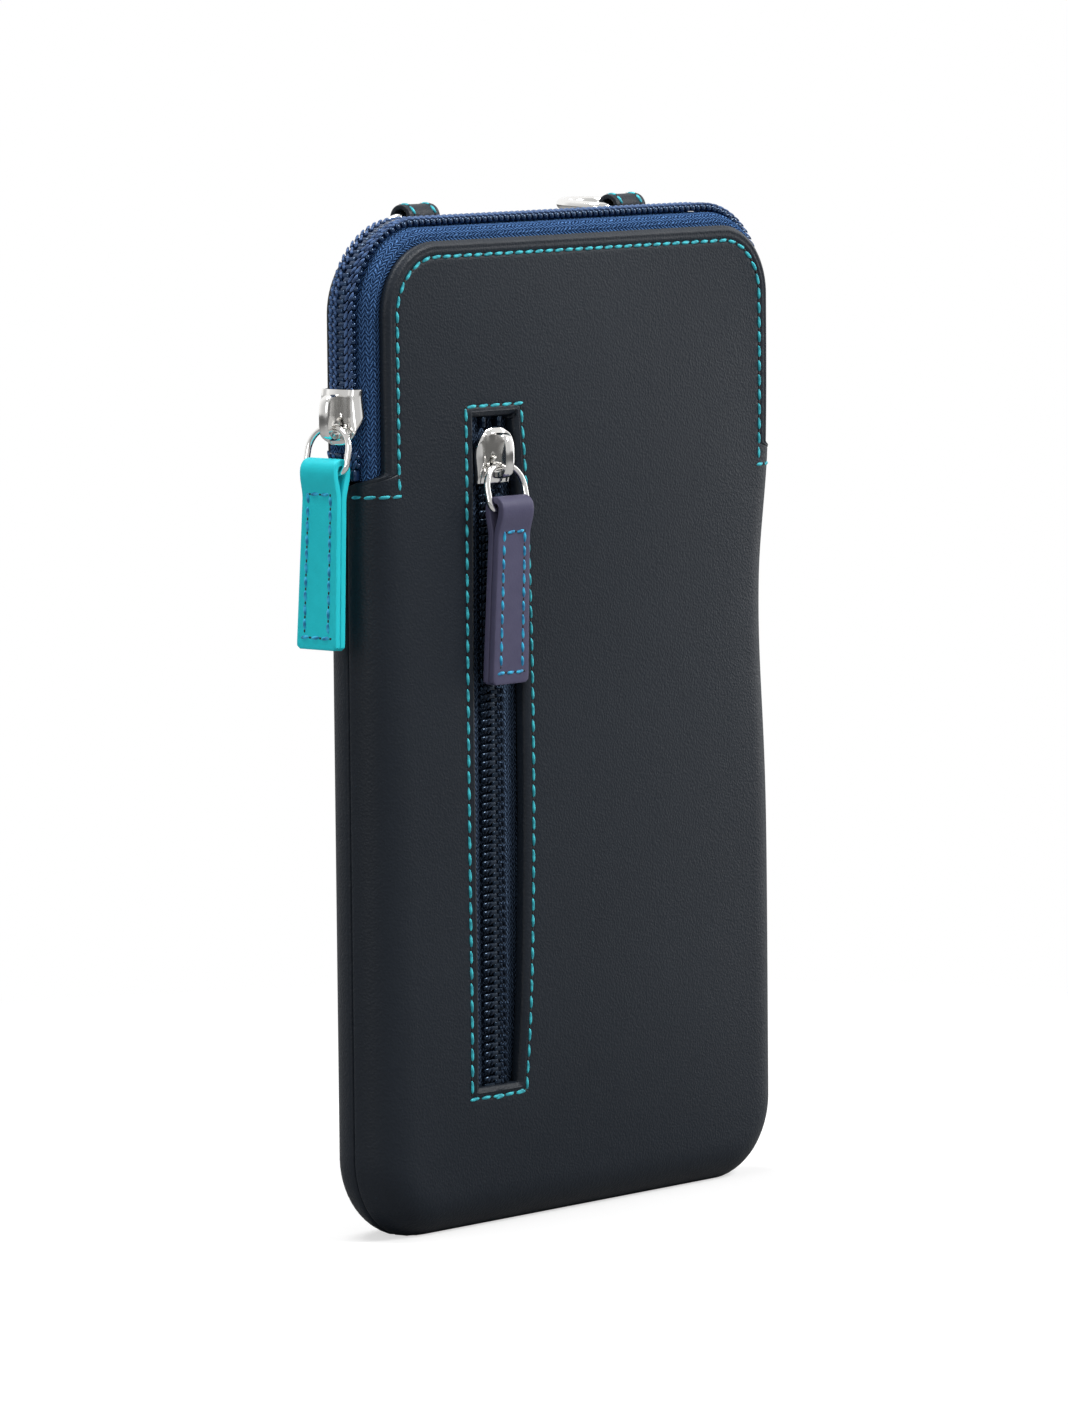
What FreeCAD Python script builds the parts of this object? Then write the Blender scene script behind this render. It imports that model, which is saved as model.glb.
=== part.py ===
import FreeCAD, Part
import math
import os

# Phone pouch: two leather panels, a coil zip round the top half, a zipped front pocket
# and two rings for a strap. Millimetres, Z up, the front faces -Y, and the origin is on
# the ground under the middle of the pouch.

Vector = FreeCAD.Vector

# Pouch body
pouch_width = 110.0
pouch_height = 181.0
side_depth = 15.0
crown_end = 0.05
crown_middle = 2.7
crown_low_height = 45.0
crown_high_margin = 50.0
top_corner = 16.0
bottom_corner = 12.0
edge_round = 5.0
rim_steps = 3
leather = 1.2
seam_groove_depth = 0.5
seam_groove_width = 0.6
notch_height = 136.0
panel_setback = 2.9

# Linings and the bag of the front pocket
lining = 0.4
lining_inset = 6.0
bag_wall = 0.3
bag_slider_room = 0.1
bag_left_margin = 16.0
bag_right_margin = 56.0
bag_end_margin = 6.0

# Zip chain, the same size on both zips
tape = 0.5
tape_gap = 1.4
tooth_pitch = 1.5
tooth_width = 0.66
tooth_reach = 0.5
coil_height = 1.6
coil_half_width = 3.1
coil_spine = 0.9
coil_seat = 0.02
stop_length = 2.0
stop_height = 1.8

# Main zip, which bends round the top of the pouch
main_tape_inset = 0.7
main_tape_clearance = 0.08
main_tape_round = 2.4
main_tape_width = 7.8
main_tape_foot = 0.2
main_slider_rise = 11.5
main_parting = 1.6

# Pocket zip, which stands upright left of the middle
slot_centre = -26.0
slot_bottom = 26.0
slot_top_margin = 34.7
slot_clearance = 0.5
slot_bow = 0.8
pocket_tape_clearance = 0.08
pocket_tape_margin = 1.5
pocket_tape_overlap = 3.5

# Slider
slider_length = 9.8
slider_rear_width = 8.6
slider_shoulder_width = 9.4
slider_nose_width = 5.0
slider_shoulder = -1.2
slider_corner = 0.9
slider_plate = 1.0
slider_under_plate = 0.85
slider_under_width = 7.0
slider_chain_room = 0.3
slider_tape_room = 0.25
slider_flange = 0.9
wedge_length = 3.4
wedge_width = 3.0
post_width = 1.0
bridge_length = 7.4
bridge_width = 2.2
bridge_bar = 1.1
bridge_round = 1.3

# Pull rings and leather pull tabs
wire_sides = 8
bend_step = math.radians(22.5)
pull_wire = 1.2
pull_ring_width = 9.8
pull_ring_length = 8.0
pull_ring_corner = 1.8
pull_ring_bow = 4.2
pull_ring_tilt = 13.0
pull_ring_play = 0.2
pull_ring_room = 1.1
tab_length = 33.8
tab_side_room = 0.2
tab_end_width = 9.5
tab_leather = 1.3
tab_fold_room = 0.325
tab_fold_lift = 0.35
tab_fold_length = 5.0
tab_end_round = 0.8
main_tab_tilt = 3.0
pocket_tab_tilt = -2.5

# Strap loops and strap rings
loop_spacing = 56.0
loop_width = 8.0
loop_rise = 0.4
loop_strap = 0.8
loop_stem_length = 11.0
strap_wire = 2.2
strap_wire_room = 0.6
strap_ring_side_room = 0.8
strap_ring_reach = 12.7
strap_ring_corner = 2.4
left_ring_angle = -40.0
right_ring_angle = 3.0

# Margin past the pieces that a cutting shape passes right through
clear = 2.0


def rim_point(inset, depth, radius, step):
    """Inset and depth of one corner of the banded rim."""
    angle = math.pi / 2 * step / rim_steps
    return inset + radius * (1 - math.cos(angle)), depth - radius + radius * math.sin(angle)


def rim_depth(inset, depth, radius, place):
    """Depth of the banded rim at a place drawn in from the outline."""
    found = depth
    for step in range(rim_steps):
        start, low = rim_point(inset, depth, radius, step)
        end, high = rim_point(inset, depth, radius, step + 1)
        if start <= place < end:
            found = low + (high - low) * (place - start) / (end - start)
    return found


def crown_at(x, height):
    """Swelling of the front face at one place on it."""
    low = (height - edge_round + clear) / (crown_low_height - edge_round + clear)
    high = (pouch_height - edge_round + clear - height) / (crown_high_margin - edge_round + clear)
    share = min(1, low, high)
    middle = crown_end + (crown_middle - crown_end) * share
    return crown_end + middle * (1 - (x / (half_width - edge_round)) ** 2)


# Values that follow from the driving dimensions
half_width = pouch_width / 2
half_depth = side_depth / 2
far = 2 * pouch_height
base_settle = rim_point(0, half_depth, edge_round, 1)[0]
main_tape_face = half_width - main_tape_inset
main_tape_depth = rim_depth(leather, half_depth - leather, edge_round - leather, panel_setback)
main_tape_depth -= main_tape_clearance
main_slider_height = notch_height + main_slider_rise
slot_top = pouch_height - slot_top_margin
slot_end_width = slider_shoulder_width + 2 * slot_clearance
slot_middle_width = slot_end_width + 2 * slot_bow
pocket_tape_width = slot_middle_width / 2 + pocket_tape_margin - tape_gap / 2
pocket_tape_side = slot_centre - tape_gap / 2 - pocket_tape_width
pocket_tape_foot = slot_bottom - pocket_tape_overlap
pocket_tape_head = slot_top + pocket_tape_overlap
pocket_crown = min(
    crown_at(pocket_tape_side, pocket_tape_foot),
    crown_at(pocket_tape_side, pocket_tape_head),
)
pocket_tape_front = half_depth - leather + pocket_crown - pocket_tape_clearance
pocket_slider_height = slot_top - stop_length - slider_length / 2
bag_front = pocket_tape_front - tape
bag_back = bag_front - slider_tape_room - slider_under_plate - bag_slider_room - bag_wall
phone_half_depth = bag_back - lining
chain_top = coil_height + slider_chain_room
slider_top = chain_top + slider_plate
bridge_rise = bridge_bar + pull_wire + pull_ring_room
hinge_rise = slider_top + (bridge_rise - bridge_bar) / 2
hinge_shift = bridge_length / 2 - bridge_bar - pull_wire / 2 - pull_ring_play
tab_fold_width = pull_ring_width - pull_wire - 2 * tab_side_room
loop_height = pouch_height + loop_rise
loop_stem_front = main_tape_depth - tape
loop_inner = strap_wire / 2 + strap_wire_room
loop_outer = loop_inner + loop_strap
loop_eye_depth = loop_stem_front + loop_outer
strap_ring_width = loop_width + strap_wire + 2 * strap_ring_side_room


def rounded_edges(left, right, low, high, low_radius, high_radius):
    """Edges of a rounded rectangle in the XZ plane, with a radius for each pair of corners."""
    cut = 1 - math.sqrt(0.5)
    edges = []

    def line(start, end):
        segment = Part.LineSegment(Vector(start[0], 0, start[1]), Vector(end[0], 0, end[1]))
        edges.append(segment.toShape())

    def corner(start, x, z, radius, end):
        side = 1 if x == right else -1
        up = 1 if z == high else -1
        middle = Vector(x - side * cut * radius, 0, z - up * cut * radius)
        arc = Part.Arc(Vector(start[0], 0, start[1]), middle, Vector(end[0], 0, end[1]))
        edges.append(arc.toShape())

    line((left + low_radius, low), (right - low_radius, low))
    corner((right - low_radius, low), right, low, low_radius, (right, low + low_radius))
    line((right, low + low_radius), (right, high - high_radius))
    corner((right, high - high_radius), right, high, high_radius, (right - high_radius, high))
    line((right - high_radius, high), (left + high_radius, high))
    corner((left + high_radius, high), left, high, high_radius, (left, high - high_radius))
    line((left, high - high_radius), (left, low + low_radius))
    corner((left, low + low_radius), left, low, low_radius, (left + low_radius, low))
    return edges


def slab(face, back, front):
    """Extrude a face of the XZ plane between two depths."""
    moved = face.copy()
    moved.translate(Vector(0, back, 0))
    return moved.extrude(Vector(0, front - back, 0))


def outline(inset):
    """Outline of the pouch seen from the front, drawn in by inset, before its foot is pressed flat."""
    edges = rounded_edges(
        inset - half_width,
        half_width - inset,
        inset - base_settle,
        pouch_height - inset,
        bottom_corner - inset,
        top_corner - inset,
    )
    return Part.Face(Part.Wire(edges))


def block(x, y, z):
    """Box between two values on each axis."""
    return Part.makeBox(x[1] - x[0], y[1] - y[0], z[1] - z[0], Vector(x[0], y[0], z[0]))


def rim_stack(inset, depth, radius):
    """Front half of a slab with a rounded rim, made of straight bands round the outline."""
    wall = slab(outline(inset), -(depth - radius), 0)
    wires = []
    for step in range(rim_steps + 1):
        drawn_in, band_depth = rim_point(inset, depth, radius, step)
        band = outline(drawn_in).OuterWire
        band.translate(Vector(0, -band_depth, 0))
        wires.append(band)
    return wall.fuse(Part.makeLoft(wires, True, True))


def crown_lens(inset):
    """Swelling middle of the front face, flush with the rim along its sides and ends."""
    edge = half_width - edge_round + clear
    base = half_depth - inset
    heights = [
        edge_round - clear,
        crown_low_height,
        pouch_height - crown_high_margin,
        pouch_height - edge_round + clear,
    ]
    wires = []
    for height in heights:
        side = base + crown_at(edge, height)
        corners = [
            Vector(-edge, -side, height),
            Vector(edge, -side, height),
            Vector(edge, -leather, height),
            Vector(-edge, -leather, height),
        ]
        front = Part.Arc(corners[0], Vector(0, -base - crown_at(0, height), height), corners[1])
        rest = Part.makePolygon(corners[1:] + corners[:1])
        wires.append(Part.Wire([front.toShape()] + rest.Edges))
    lens = Part.makeLoft(wires, True, True)
    return lens.common(slab(outline(edge_round), -far, 0))


def pouch_form(inset):
    """Front half of the pouch's form, drawn in by inset on every side."""
    stack = rim_stack(inset, half_depth - inset, edge_round - inset)
    return stack.fuse(crown_lens(inset)).removeSplitter()


def back_copy(shape):
    """The same shape on the other side of the seam plane."""
    return shape.mirror(Vector(0, 0, 0), Vector(0, 1, 0))


def above(height):
    """Everything above a height."""
    return block((-far, far), (-far, far), (height, far))


def panel_shell():
    """Front half of the leather, open at the seam and set back beside the main zip."""
    shell = pouch_form(0).cut(pouch_form(leather))
    zip_band = slab(outline(-clear).cut(outline(panel_setback)), -far, far)
    zip_band = zip_band.common(above(notch_height))
    groove = slab(outline(-clear).cut(outline(seam_groove_depth)), -seam_groove_width / 2, 0)
    return shell.cut(zip_band).cut(groove.common(above(bottom_corner))).common(above(0))


def slot_window():
    """Window of the pocket zip, with sides that bow out between its ends."""
    end = slot_end_width / 2
    middle = slot_middle_width / 2
    half_way = (slot_bottom + slot_top) / 2
    corners = [
        Vector(slot_centre - end, 0, slot_bottom),
        Vector(slot_centre + end, 0, slot_bottom),
        Vector(slot_centre + end, 0, slot_top),
        Vector(slot_centre - end, 0, slot_top),
    ]
    bottom = Part.LineSegment(corners[0], corners[1])
    right = Part.Arc(corners[1], Vector(slot_centre + middle, 0, half_way), corners[2])
    top = Part.LineSegment(corners[2], corners[3])
    left = Part.Arc(corners[3], Vector(slot_centre - middle, 0, half_way), corners[0])
    wire = Part.Wire([bottom.toShape(), right.toShape(), top.toShape(), left.toShape()])
    return slab(Part.Face(wire), -far, 0)


def lining_sheet():
    """Lining behind the front panel, facing the phone."""
    return slab(outline(lining_inset), -phone_half_depth - lining, -phone_half_depth)


def pocket_bag():
    """Flat cloth bag behind the pocket zip, open along the zip."""
    bag_left = slot_centre - bag_left_margin
    bag_right = slot_centre + bag_right_margin
    bag_bottom = slot_bottom - bag_end_margin
    bag_top = slot_top + bag_end_margin
    outer = block((bag_left, bag_right), (-bag_front, -bag_back), (bag_bottom, bag_top))
    inner = block(
        (bag_left + bag_wall, bag_right - bag_wall),
        (-bag_front + bag_wall, -bag_back - bag_wall),
        (bag_bottom + bag_wall, bag_top - bag_wall),
    )
    mouth_half = slot_middle_width / 2 + bag_wall
    mouth = block(
        (slot_centre - mouth_half, slot_centre + mouth_half),
        (-bag_front - clear, -bag_front + bag_wall),
        (slot_bottom, slot_top),
    )
    return outer.cut(inner).cut(mouth)


def main_tape():
    """Front tape of the main zip, bent over the rim and tucked under the front panel."""
    outer = rim_stack(main_tape_inset, main_tape_depth, main_tape_round)
    inner = rim_stack(main_tape_inset + tape, main_tape_depth - tape, main_tape_round - tape)
    core = slab(outline(main_tape_inset + main_tape_width), -far, far)
    front = block((-far, far), (-far, -tape_gap / 2), (notch_height + main_tape_foot, far))
    return outer.cut(inner).cut(core).common(front)


def frame(origin, along, across):
    """Placement whose axes run along the chain, across it and out of the tape."""
    out = along.cross(across)
    matrix = FreeCAD.Matrix(
        along.x, across.x, out.x, origin.x,
        along.y, across.y, out.y, origin.y,
        along.z, across.z, out.z, origin.z,
    )
    return FreeCAD.Placement(matrix)


def placed(shape, placement):
    """A copy of a shape that was made at the origin, moved to a placement."""
    moved = shape.copy()
    moved.Placement = placement.multiply(moved.Placement)
    return moved


def chain_place(distance, start):
    """Place on the main zip's path, counted from a height on the left side up and round."""
    radius = top_corner - main_tape_inset
    corner_height = pouch_height - top_corner
    corner_side = half_width - top_corner
    bend = radius * math.pi / 2
    across = Vector(0, 1, 0)
    rise = corner_height - start
    if distance < rise:
        return frame(Vector(-main_tape_face, 0, start + distance), Vector(0, 0, 1), across)
    distance -= rise
    if distance < bend:
        return bend_place(-corner_side, corner_height, radius, math.pi - distance / radius)
    distance -= bend
    if distance < 2 * corner_side:
        top = pouch_height - main_tape_inset
        return frame(Vector(distance - corner_side, 0, top), Vector(1, 0, 0), across)
    distance -= 2 * corner_side
    if distance < bend:
        return bend_place(corner_side, corner_height, radius, math.pi / 2 - distance / radius)
    distance -= bend
    return frame(Vector(main_tape_face, 0, corner_height - distance), Vector(0, 0, -1), across)


def bend_place(x, z, radius, angle):
    """Place on a corner of the main zip's path."""
    out = Vector(math.cos(angle), 0, math.sin(angle))
    along = Vector(math.sin(angle), 0, -math.cos(angle))
    return frame(Vector(x, 0, z) + out * radius, along, Vector(0, 1, 0))


def tooth(side):
    """One turn of a coil, from its spine to just past the middle of the chain."""
    reach = (coil_spine - coil_half_width, tooth_reach)
    if side > 0:
        reach = (-tooth_reach, coil_half_width - coil_spine)
    return block((-tooth_width / 2, tooth_width / 2), reach, (coil_seat, coil_height))


def spine_span(side):
    """Depth range of a coil's spine across the chain."""
    span = (-coil_half_width, coil_spine - coil_half_width)
    if side > 0:
        span = (coil_half_width - coil_spine, coil_half_width)
    return span


def parted_row(side, count):
    """Short open run of a coil, pushed aside past the slider's nose."""
    length = count * tooth_pitch
    row = block((0, length), spine_span(side), (coil_seat, coil_height))
    teeth = []
    for index in range(count):
        turn = tooth(side)
        turn.translate(Vector((index + 0.5) * tooth_pitch, 0, 0))
        teeth.append(turn)
    row = row.multiFuse(teeth)
    row.translate(Vector(0, side * main_parting, 0))
    return row


def main_coil(side):
    """Coil of the main zip: -1 for the front, 1 for the back."""
    start = main_slider_height + slider_shoulder + wedge_length / 2
    finish = notch_height + main_tape_foot + stop_length + tooth_pitch
    corner_height = pouch_height - top_corner
    bend = (top_corner - main_tape_inset) * math.pi / 2
    path = 2 * corner_height - start - finish + 2 * bend + pouch_width - 2 * top_corner
    band = outline(main_tape_inset - coil_height).cut(outline(main_tape_inset - coil_seat))
    spine = slab(band, *spine_span(side))
    spine = spine.cut(block((-far, 0), (-far, far), (-far, start)))
    spine = spine.cut(block((0, far), (-far, far), (-far, finish)))
    shift = 0.5 if side < 0 else 1.0
    teeth = []
    for index in range(int(path / tooth_pitch)):
        place = chain_place((index + shift) * tooth_pitch, start)
        teeth.append(placed(tooth(side), place))
    coil = spine.multiFuse(teeth)
    foot = notch_height + main_tape_foot + stop_length
    count = int((main_slider_height - slider_length / 2 - foot) / tooth_pitch)
    open_place = frame(Vector(-main_tape_face, 0, foot), Vector(0, 0, 1), Vector(0, 1, 0))
    return Part.makeCompound(coil.Solids + placed(parted_row(side, count), open_place).Solids)


def main_end_stops():
    """Crimped stops that keep the main slider on its chain."""
    foot = notch_height + main_tape_foot
    right = frame(Vector(main_tape_face, 0, foot + stop_length), Vector(0, 0, -1), Vector(0, 1, 0))
    left = frame(Vector(-main_tape_face, 0, foot), Vector(0, 0, 1), Vector(0, 1, 0))
    span = (coil_half_width - coil_spine, coil_half_width)
    closed = block((0, stop_length), (-coil_half_width, coil_half_width), (coil_seat, stop_height))
    stops = placed(closed, right).Solids
    for side in (-1, 1):
        inner = min(side * span[0], side * span[1])
        one = block((0, stop_length), (inner, inner + coil_spine), (coil_seat, stop_height))
        stops += placed(one, left).Solids
    return Part.makeCompound(stops)


def pocket_place(height):
    """Place on the pocket zip, with the chain running down from it."""
    return frame(Vector(slot_centre, -pocket_tape_front, height), Vector(0, 0, -1), Vector(1, 0, 0))


def pocket_tape(side):
    """One straight tape of the pocket zip: -1 on the left, 1 on the right."""
    near = slot_centre + side * tape_gap / 2
    outer = near + side * pocket_tape_width
    depth = (-pocket_tape_front, -pocket_tape_front + tape)
    return block((min(near, outer), max(near, outer)), depth, (pocket_tape_foot, pocket_tape_head))


def pocket_coil(side):
    """Coil of the pocket zip, with a short open run above the slider."""
    start = pocket_slider_height - slider_shoulder - wedge_length / 2
    finish = slot_bottom + stop_length + tooth_pitch / 2
    length = start - finish
    spine = block((0, length), spine_span(side), (coil_seat, coil_height))
    shift = 0.5 if side < 0 else 1.0
    teeth = []
    for index in range(int(length / tooth_pitch)):
        turn = tooth(side)
        turn.translate(Vector((index + shift) * tooth_pitch, 0, 0))
        teeth.append(turn)
    coil = placed(spine.multiFuse(teeth), pocket_place(start))
    top = slot_top - stop_length
    count = int((top - pocket_slider_height - slider_length / 2) / tooth_pitch)
    solids = coil.Solids
    if count > 0:
        solids = solids + placed(parted_row(side, count), pocket_place(top)).Solids
    return Part.makeCompound(solids)


def pocket_end_stops():
    """Stops at the two ends of the pocket zip."""
    closed = block((0, stop_length), (-coil_half_width, coil_half_width), (coil_seat, stop_height))
    stops = placed(closed, pocket_place(slot_bottom + stop_length)).Solids
    for side in (-1, 1):
        inner = side * main_parting if side > 0 else side * main_parting - coil_spine
        one = block((0, stop_length), (inner, inner + coil_spine), (coil_seat, stop_height))
        stops += placed(one, pocket_place(slot_top)).Solids
    return Part.makeCompound(stops)


def slider_plan(rear, shoulder, nose):
    """Plan of a slider plate, square at the rear and drawn in to its nose."""
    end = slider_length / 2
    points = [
        Vector(end, -rear / 2, 0),
        Vector(end, rear / 2, 0),
        Vector(slider_shoulder, shoulder / 2, 0),
        Vector(-end, nose / 2, 0),
        Vector(-end, -nose / 2, 0),
        Vector(slider_shoulder, -shoulder / 2, 0),
    ]
    return Part.Face(Part.makePolygon(points + points[:1]))


def plate(face, low, high, radius):
    """Plate of a given plan between two heights, with its upright corners rounded."""
    moved = face.copy()
    moved.translate(Vector(0, 0, low))
    solid = moved.extrude(Vector(0, 0, high - low))
    upright = [edge for edge in solid.Edges if edge.BoundBox.ZLength > (high - low) / 2]
    return solid.makeFillet(radius, upright)


def slider_bridge():
    """Arched bar over the slider that holds the pull ring."""
    end = bridge_length / 2
    top = slider_top + bridge_rise
    base = slider_top - slider_plate / 2
    arch = block((-end, end), (-bridge_width / 2, bridge_width / 2), (base, top))
    shoulders = [
        edge
        for edge in arch.Edges
        if edge.BoundBox.YLength > bridge_width / 2 and edge.BoundBox.ZMin > slider_top
    ]
    arch = arch.makeFillet(bridge_round, shoulders)
    opening = block(
        (bridge_bar - end, end - bridge_bar),
        (-bridge_width, bridge_width),
        (slider_top, top - bridge_bar),
    )
    return arch.cut(opening)


def slider():
    """Zip slider: two plates, side flanges, the wedge that parts the coils, and the bridge."""
    plan = slider_plan(slider_rear_width, slider_shoulder_width, slider_nose_width)
    upper = plate(plan, chain_top, slider_top, slider_corner)
    narrow = slider_under_width / slider_shoulder_width
    under_plan = slider_plan(
        slider_rear_width * narrow, slider_under_width, slider_nose_width * narrow
    )
    under_top = -tape - slider_tape_room
    under = plate(under_plan, under_top - slider_under_plate, under_top, slider_corner * narrow)
    skirt = plate(plan, slider_chain_room, chain_top, slider_corner)
    channel_half = slider_rear_width / 2 - slider_flange
    channel = block((-far, far), (-channel_half, channel_half), (0, chain_top))
    front = block((-far, slider_shoulder), (-far, far), (0, chain_top))
    flanges = skirt.cut(channel).cut(front)
    wedge_rear = slider_shoulder + wedge_length / 4
    wedge_points = [
        Vector(wedge_rear, 0, slider_chain_room),
        Vector(wedge_rear - wedge_length / 2, wedge_width / 2, slider_chain_room),
        Vector(wedge_rear - wedge_length, 0, slider_chain_room),
        Vector(wedge_rear - wedge_length / 2, -wedge_width / 2, slider_chain_room),
    ]
    wedge = Part.Face(Part.makePolygon(wedge_points + wedge_points[:1]))
    wedge = wedge.extrude(Vector(0, 0, chain_top - slider_chain_room))
    post_middle = wedge_rear - wedge_length / 2
    post = block(
        (post_middle - post_width, post_middle + post_width),
        (-post_width / 2, post_width / 2),
        (under_top, chain_top),
    )
    pieces = [under] + flanges.Solids + [wedge, post, slider_bridge()]
    return upper.multiFuse(pieces).removeSplitter()


def wire_section(centre, direction, normal, diameter):
    """Corners of a many-sided section of a wire, with flats square to the plane of its bends."""
    side = direction.cross(normal)
    radius = diameter / 2
    points = []
    for index in range(wire_sides):
        angle = 2 * math.pi * (index + 0.5) / wire_sides
        offset = side * (radius * math.cos(angle)) + normal * (radius * math.sin(angle))
        points.append(centre + offset)
    return points


def wire_loop(edges, normal, diameter):
    """Wire bent along a closed flat run of lines and arcs, with short chords round its bends."""
    sections = []
    for edge in edges:
        first, last = edge.ParameterRange
        chords = 1
        if isinstance(edge.Curve, Part.Circle):
            chords = math.ceil((last - first) / bend_step)
        for index in range(chords):
            at = first + (last - first) * index / chords
            sections.append(wire_section(edge.valueAt(at), edge.tangentAt(at), normal, diameter))
    faces = []
    for near, following in zip(sections, sections[1:] + sections[:1]):
        for index in range(wire_sides):
            after = (index + 1) % wire_sides
            corners = [near[index], near[after], following[after], following[index]]
            faces.append(Part.Face(Part.makePolygon(corners + corners[:1])))
    return Part.Solid(Part.Shell(faces))


def pull_ring():
    """Wire ring of a pull, hung from the middle of its top bar."""
    edges = rounded_edges(
        -pull_ring_width / 2, pull_ring_width / 2, -pull_ring_length, 0, pull_ring_corner, pull_ring_bow
    )
    return wire_loop(edges, Vector(0, 1, 0), pull_wire)


def pull_tab():
    """Strip of leather folded over the ring's lower bar and sewn flat below it."""
    room = pull_wire / 2 + tab_fold_room
    outer = room + tab_leather
    top = tab_fold_lift
    end = top + outer - tab_length
    merge = -tab_fold_length
    crest = Part.Arc(Vector(0, outer, top), Vector(0, 0, top + outer), Vector(0, -outer, top))
    front = Part.makePolygon(
        [
            Vector(0, -outer, top),
            Vector(0, -tab_leather, merge),
            Vector(0, -tab_leather, end),
            Vector(0, tab_leather, end),
            Vector(0, tab_leather, merge),
            Vector(0, outer, top),
        ]
    )
    side = Part.Face(Part.Wire([crest.toShape()] + front.Edges))
    hollow_arc = Part.Arc(Vector(0, room, top), Vector(0, 0, top + room), Vector(0, -room, top))
    hollow_sides = Part.makePolygon(
        [
            Vector(0, -room, top),
            Vector(0, -room, -room),
            Vector(0, 0, merge + tab_leather),
            Vector(0, room, -room),
            Vector(0, room, top),
        ]
    )
    hollow = Part.Face(Part.Wire([hollow_arc.toShape()] + hollow_sides.Edges))
    strip = side.cut(hollow).Faces[0]
    strip.translate(Vector(-tab_end_width, 0, 0))
    strip = strip.extrude(Vector(2 * tab_end_width, 0, 0))
    plan_points = [
        Vector(-tab_fold_width / 2, 0, top + outer),
        Vector(-tab_end_width / 2, 0, end),
        Vector(tab_end_width / 2, 0, end),
        Vector(tab_fold_width / 2, 0, top + outer),
    ]
    plan = Part.Face(Part.makePolygon(plan_points + plan_points[:1]))
    plan.translate(Vector(0, -outer, 0))
    plan = plan.extrude(Vector(0, 2 * outer, 0))
    lower = [
        edge
        for edge in plan.Edges
        if edge.BoundBox.YLength > outer and edge.BoundBox.ZMax < merge
    ]
    return strip.common(plan.makeFillet(tab_end_round, lower)).Solids[0]


def pull_frame(hinge, across):
    """Placement of a pull: its X runs along the hinge and its Z runs up."""
    up = Vector(0, 0, 1)
    out = up.cross(across)
    matrix = FreeCAD.Matrix(
        across.x, out.x, up.x, hinge.x,
        across.y, out.y, up.y, hinge.y,
        across.z, out.z, up.z, hinge.z,
    )
    return FreeCAD.Placement(matrix)


def hung_pull(hinge, across, tab_tilt):
    """Pull ring and tab at rest under a slider's bridge."""
    place = pull_frame(hinge, across)
    tilt = math.radians(pull_ring_tilt)
    ring = pull_ring()
    ring.rotate(Vector(0, 0, 0), Vector(1, 0, 0), pull_ring_tilt)
    leaf = pull_tab()
    leaf.rotate(Vector(0, 0, 0), Vector(1, 0, 0), tab_tilt)
    leaf.translate(Vector(0, pull_ring_length * math.sin(tilt), -pull_ring_length * math.cos(tilt)))
    return placed(ring, place), placed(leaf, place)


def strap_loop(x):
    """Doubled strap sewn in behind the back panel, with an eye for the strap ring."""
    left = x - loop_width / 2
    centre = Vector(left, loop_eye_depth, loop_height)
    axis = Vector(1, 0, 0)
    eye = Part.makeCylinder(loop_outer, loop_width, centre, axis)
    stem = block(
        (left, left + loop_width),
        (loop_stem_front, loop_stem_front + 2 * loop_strap),
        (loop_height - loop_stem_length, loop_height),
    )
    return eye.fuse(stem).cut(Part.makeCylinder(loop_inner, loop_width, centre, axis)).removeSplitter()


def strap_ring(x, angle):
    """D shaped ring whose straight bar lies in the eye of a strap loop."""
    half = strap_ring_width / 2
    corner = strap_ring_corner
    bow = strap_ring_reach - half
    cut = corner * (1 - math.sqrt(0.5))
    edges = [
        Part.LineSegment(Vector(corner - half, 0, 0), Vector(half - corner, 0, 0)),
        Part.Arc(Vector(half - corner, 0, 0), Vector(half - cut, cut, 0), Vector(half, corner, 0)),
        Part.LineSegment(Vector(half, corner, 0), Vector(half, bow, 0)),
        Part.Arc(Vector(half, bow, 0), Vector(0, strap_ring_reach, 0), Vector(-half, bow, 0)),
        Part.LineSegment(Vector(-half, bow, 0), Vector(-half, corner, 0)),
        Part.Arc(Vector(-half, corner, 0), Vector(cut - half, cut, 0), Vector(corner - half, 0, 0)),
    ]
    ring = wire_loop([edge.toShape() for edge in edges], Vector(0, 0, 1), strap_wire)
    ring.rotate(Vector(0, 0, 0), Vector(1, 0, 0), angle)
    ring.translate(Vector(x, loop_eye_depth, loop_height))
    return ring


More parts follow.
